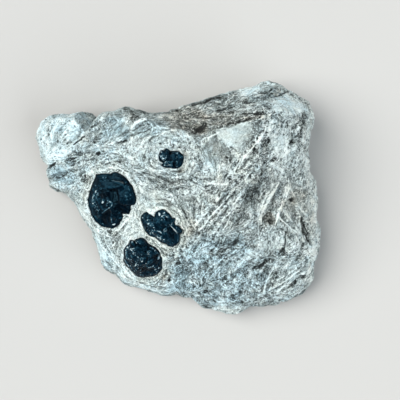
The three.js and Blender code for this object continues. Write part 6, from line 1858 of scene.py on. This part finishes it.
    # crisp strokes, pale or dark; the dark ones are painted shade in cracks, pits and gaps between sheets
    ragged = t.math("MULTIPLY_ADD", t.noise(flat, 1100.0, 2.0), 0.9, -0.45)
    broken = t.math("MULTIPLY_ADD", t.noise(t.place(0.0, (1, 1, 1), 0.59), 800.0, 2.0), 2.2, -0.35, clamp=True)
    for k in range(LAYERS):
        away = t.math("ABSOLUTE", t.math("ADD", t.attr("side%d" % k), ragged))
        body = t.math("SUBTRACT", 1.15, away, clamp=True)
        level = t.math("MULTIPLY_ADD", t.math("MULTIPLY", body, t.math("MULTIPLY_ADD", broken, 0.75, 0.35)), t.math("MULTIPLY", t.attr("line%d" % k), 0.66), level)
    level = t.math("ADD", level, 0.0, clamp=True)
    grey = t.ramp(level, [(0.0, (0.012, 0.016, 0.016)), (0.22, (0.068, 0.085, 0.083)), (0.45, (0.215, 0.262, 0.262)),
                          (0.62, (0.37, 0.45, 0.455)), (0.8, (0.56, 0.67, 0.68)), (1.0, (0.80, 0.90, 0.90))])
    color = t.mix(t.math("MULTIPLY", t.attr("brown"), 0.75, clamp=True), grey, (1.0, 0.84, 0.74, 1), "MULTIPLY")
    color = t.mix(t.math("MULTIPLY", t.attr("cream"), 0.8, clamp=True), color, (1.0, 0.965, 0.90, 1), "MULTIPLY")
    color = t.mix(t.math("MULTIPLY", t.attr("blue"), 0.8, clamp=True), color, (0.80, 0.95, 1.05, 1), "MULTIPLY")
    t.put(t.shader.inputs["Base Color"], color)
    t.shader.inputs["Roughness"].default_value = 0.8
    t.shader.inputs["Specular IOR Level"].default_value = 0.35
    # small leaning chips and the tone itself as relief, in metres
    shade, place = t.chips(bent, 1000.0)
    high = t.math("MULTIPLY", place, t.math("MULTIPLY_ADD", t.attr("w_chip"), 0.5, 0.15))
    high = t.math("MULTIPLY_ADD", level, 0.00016, high)
    bump = t.nodes.new("ShaderNodeBump")
    bump.inputs["Strength"].default_value = 0.8
    bump.inputs["Distance"].default_value = 1.0
    t.put(bump.inputs["Height"], high)
    t.put(t.shader.inputs["Normal"], bump.outputs[0])
    return t.mat


def glass_material():
    t = Tree("obsidian")
    flat = t.place()
    grain = t.noise(flat, 1900.0, 3.0, 0.6, 0.4)
    bent = t.shift(flat, 700.0, 0.0009)
    chip = t.attr("chip")
    # The tone attribute and what is added to level here stand mostly for light on the glass: grain, per-chip
    # brightness, bright chip edges and bright dots are painted glints and sparkle.
    level = t.math("MULTIPLY_ADD", t.math("SUBTRACT", grain, 0.5), t.math("MULTIPLY_ADD", chip, 0.45, 0.32), t.attr("tone"))
    shade, place = t.chips(bent, 820.0)
    level = t.math("MULTIPLY_ADD", t.math("SUBTRACT", shade, 0.5), t.math("MULTIPLY", chip, 0.42), level)
    shell = t.math("SUBTRACT", 1.0, t.math("MULTIPLY", t.cells(bent, 820.0, "DISTANCE_TO_EDGE"), 7.0), clamp=True)
    some = t.math("MULTIPLY_ADD", t.noise(flat, 420.0, 2.0), 4.0, -1.9, clamp=True)
    level = t.math("MULTIPLY_ADD", t.math("MULTIPLY", shell, some), t.math("MULTIPLY", chip, 0.48), level)
    long_way = t.shift(t.place(35.0, (1.9, 0.75, 1.2), 0.05), 500.0, 0.0012)
    for where, scale, few, gain in ((long_way, 1300.0, 0.70, 0.50), (bent, 1800.0, 0.62, 0.52)):
        near, pick = t.dots(where, scale)
        dot = t.math("MULTIPLY", t.math("SUBTRACT", 0.42, near), 5.0, clamp=True)
        pick = t.math("MULTIPLY", t.math("SUBTRACT", pick, few), 5.0, clamp=True)
        level = t.math("MULTIPLY_ADD", t.math("MULTIPLY", dot, pick), t.math("MULTIPLY", chip, gain), level)
    level = t.math("ADD", level, 0.0, clamp=True)
    # Levels above black give a painted teal sheen and, near the top, painted glints.
    color = t.ramp(level, [(0.0, (0.0003, 0.0007, 0.002)), (0.3, (0.0003, 0.0042, 0.0095)), (0.5, (0.0015, 0.016, 0.029)),
                           (0.7, (0.032, 0.085, 0.115)), (0.85, (0.16, 0.25, 0.29)), (1.0, (0.52, 0.62, 0.64))])
    color = t.mix(t.attr("tan"), color, (1.0, 0.84, 0.74, 1), "MULTIPLY")
    crust = t.math("MULTIPLY", t.math("MULTIPLY_ADD", t.attr("tan"), 1.8, -1.0, clamp=True), t.math("MULTIPLY_ADD", level, 3.0, -0.75, clamp=True))
    color = t.mix(crust, color, (0.062, 0.066, 0.062, 1), "MIX")
    t.put(t.shader.inputs["Base Color"], color)
    t.put(t.shader.inputs["Roughness"], t.math("MULTIPLY_ADD", t.attr("matt"), 0.34, 0.09))
    t.shader.inputs["IOR"].default_value = 1.5
    t.shader.inputs["Specular IOR Level"].default_value = 0.15
    t.shader.inputs["Specular Tint"].default_value = (0.22, 0.68, 1.0, 1)
    bump = t.nodes.new("ShaderNodeBump")
    bump.inputs["Strength"].default_value = 1.0
    bump.inputs["Distance"].default_value = 1.0
    t.put(bump.inputs["Height"], t.math("MULTIPLY_ADD", t.math("MULTIPLY", place, chip), 0.8, t.math("MULTIPLY", grain, 0.00008)))
    t.put(t.shader.inputs["Normal"], bump.outputs[0])
    return t.mat


rock.data.materials.clear()
rock.data.materials.append(perlite_material())
glass = glass_material()
for ob, name in tears:
    ob.data.materials.clear()
    ob.data.materials.append(glass)

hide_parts("perlite_matrix")
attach(rock, "root")
for ob, name in tears:
    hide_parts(name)
    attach(ob, "root")

# ---------------------------------------------------------------- floor, light and camera
bpy.ops.mesh.primitive_plane_add(size=20, location=(0, 0, 0))
floor = bpy.context.object
floor.name = "floor"
floor.data.materials.append(simple("floor", (0.54, 0.535, 0.52), 0.9))
floor.data.materials[0].node_tree.nodes["Principled BSDF"].inputs["Specular IOR Level"].default_value = 0.15


def soft(name, place, power, spread, color=(1, 1, 1)):
    """A wide, even light from the direction of place."""
    light = bpy.data.lights.new(name, "SUN")
    light.energy = power
    light.angle = math.radians(spread)
    light.color = color
    ob = bpy.data.objects.new(name, light)
    scene.collection.objects.link(ob)
    ob.location = place
    ob.rotation_euler = (-Vector(place)).to_track_quat("-Z", "Y").to_euler()
    return ob


soft("key", (-0.44, 0.10, 0.64), 3.5, 50, (1.0, 0.985, 0.96))
soft("fill", (0.50, -0.30, 0.50), 1.7, 60, (0.93, 0.97, 1.0))

world = bpy.data.worlds.new("studio")
world.use_nodes = True
wn, wl = world.node_tree.nodes, world.node_tree.links
sky = wn.new("ShaderNodeTexCoord")
split = wn.new("ShaderNodeSeparateXYZ")
shade = wn.new("ShaderNodeValToRGB")
wl.new(sky.outputs["Generated"], split.inputs[0])
wl.new(split.outputs["Z"], shade.inputs[0])
wl.new(shade.outputs[0], wn["Background"].inputs[0])
e = shade.color_ramp.elements
e.new(0.5)
for k, (place, color) in enumerate([(0.10, (0.74, 0.76, 0.765)), (0.50, (0.22, 0.26, 0.29)), (0.85, (0.035, 0.05, 0.06))]):
    e[k].position, e[k].color = place, (*color, 1)
wn["Background"].inputs[1].default_value = 1.1
scene.world = world
scene.view_settings.view_transform = "Standard"

cam = bpy.data.cameras.new("camera")
cam.sensor_width = 36
cam.lens = 36 * (EYE_HEIGHT - STEP_HEIGHT) / (400 * STEP_MM)
cam.clip_start = 0.01
camera = bpy.data.objects.new("camera", cam)
scene.collection.objects.link(camera)
camera.location = (CX * 0.001, CY * 0.001, EYE_HEIGHT * 0.001)
camera.rotation_euler = (0, 0, 0)
scene.camera = camera

bpy.context.view_layer.update()
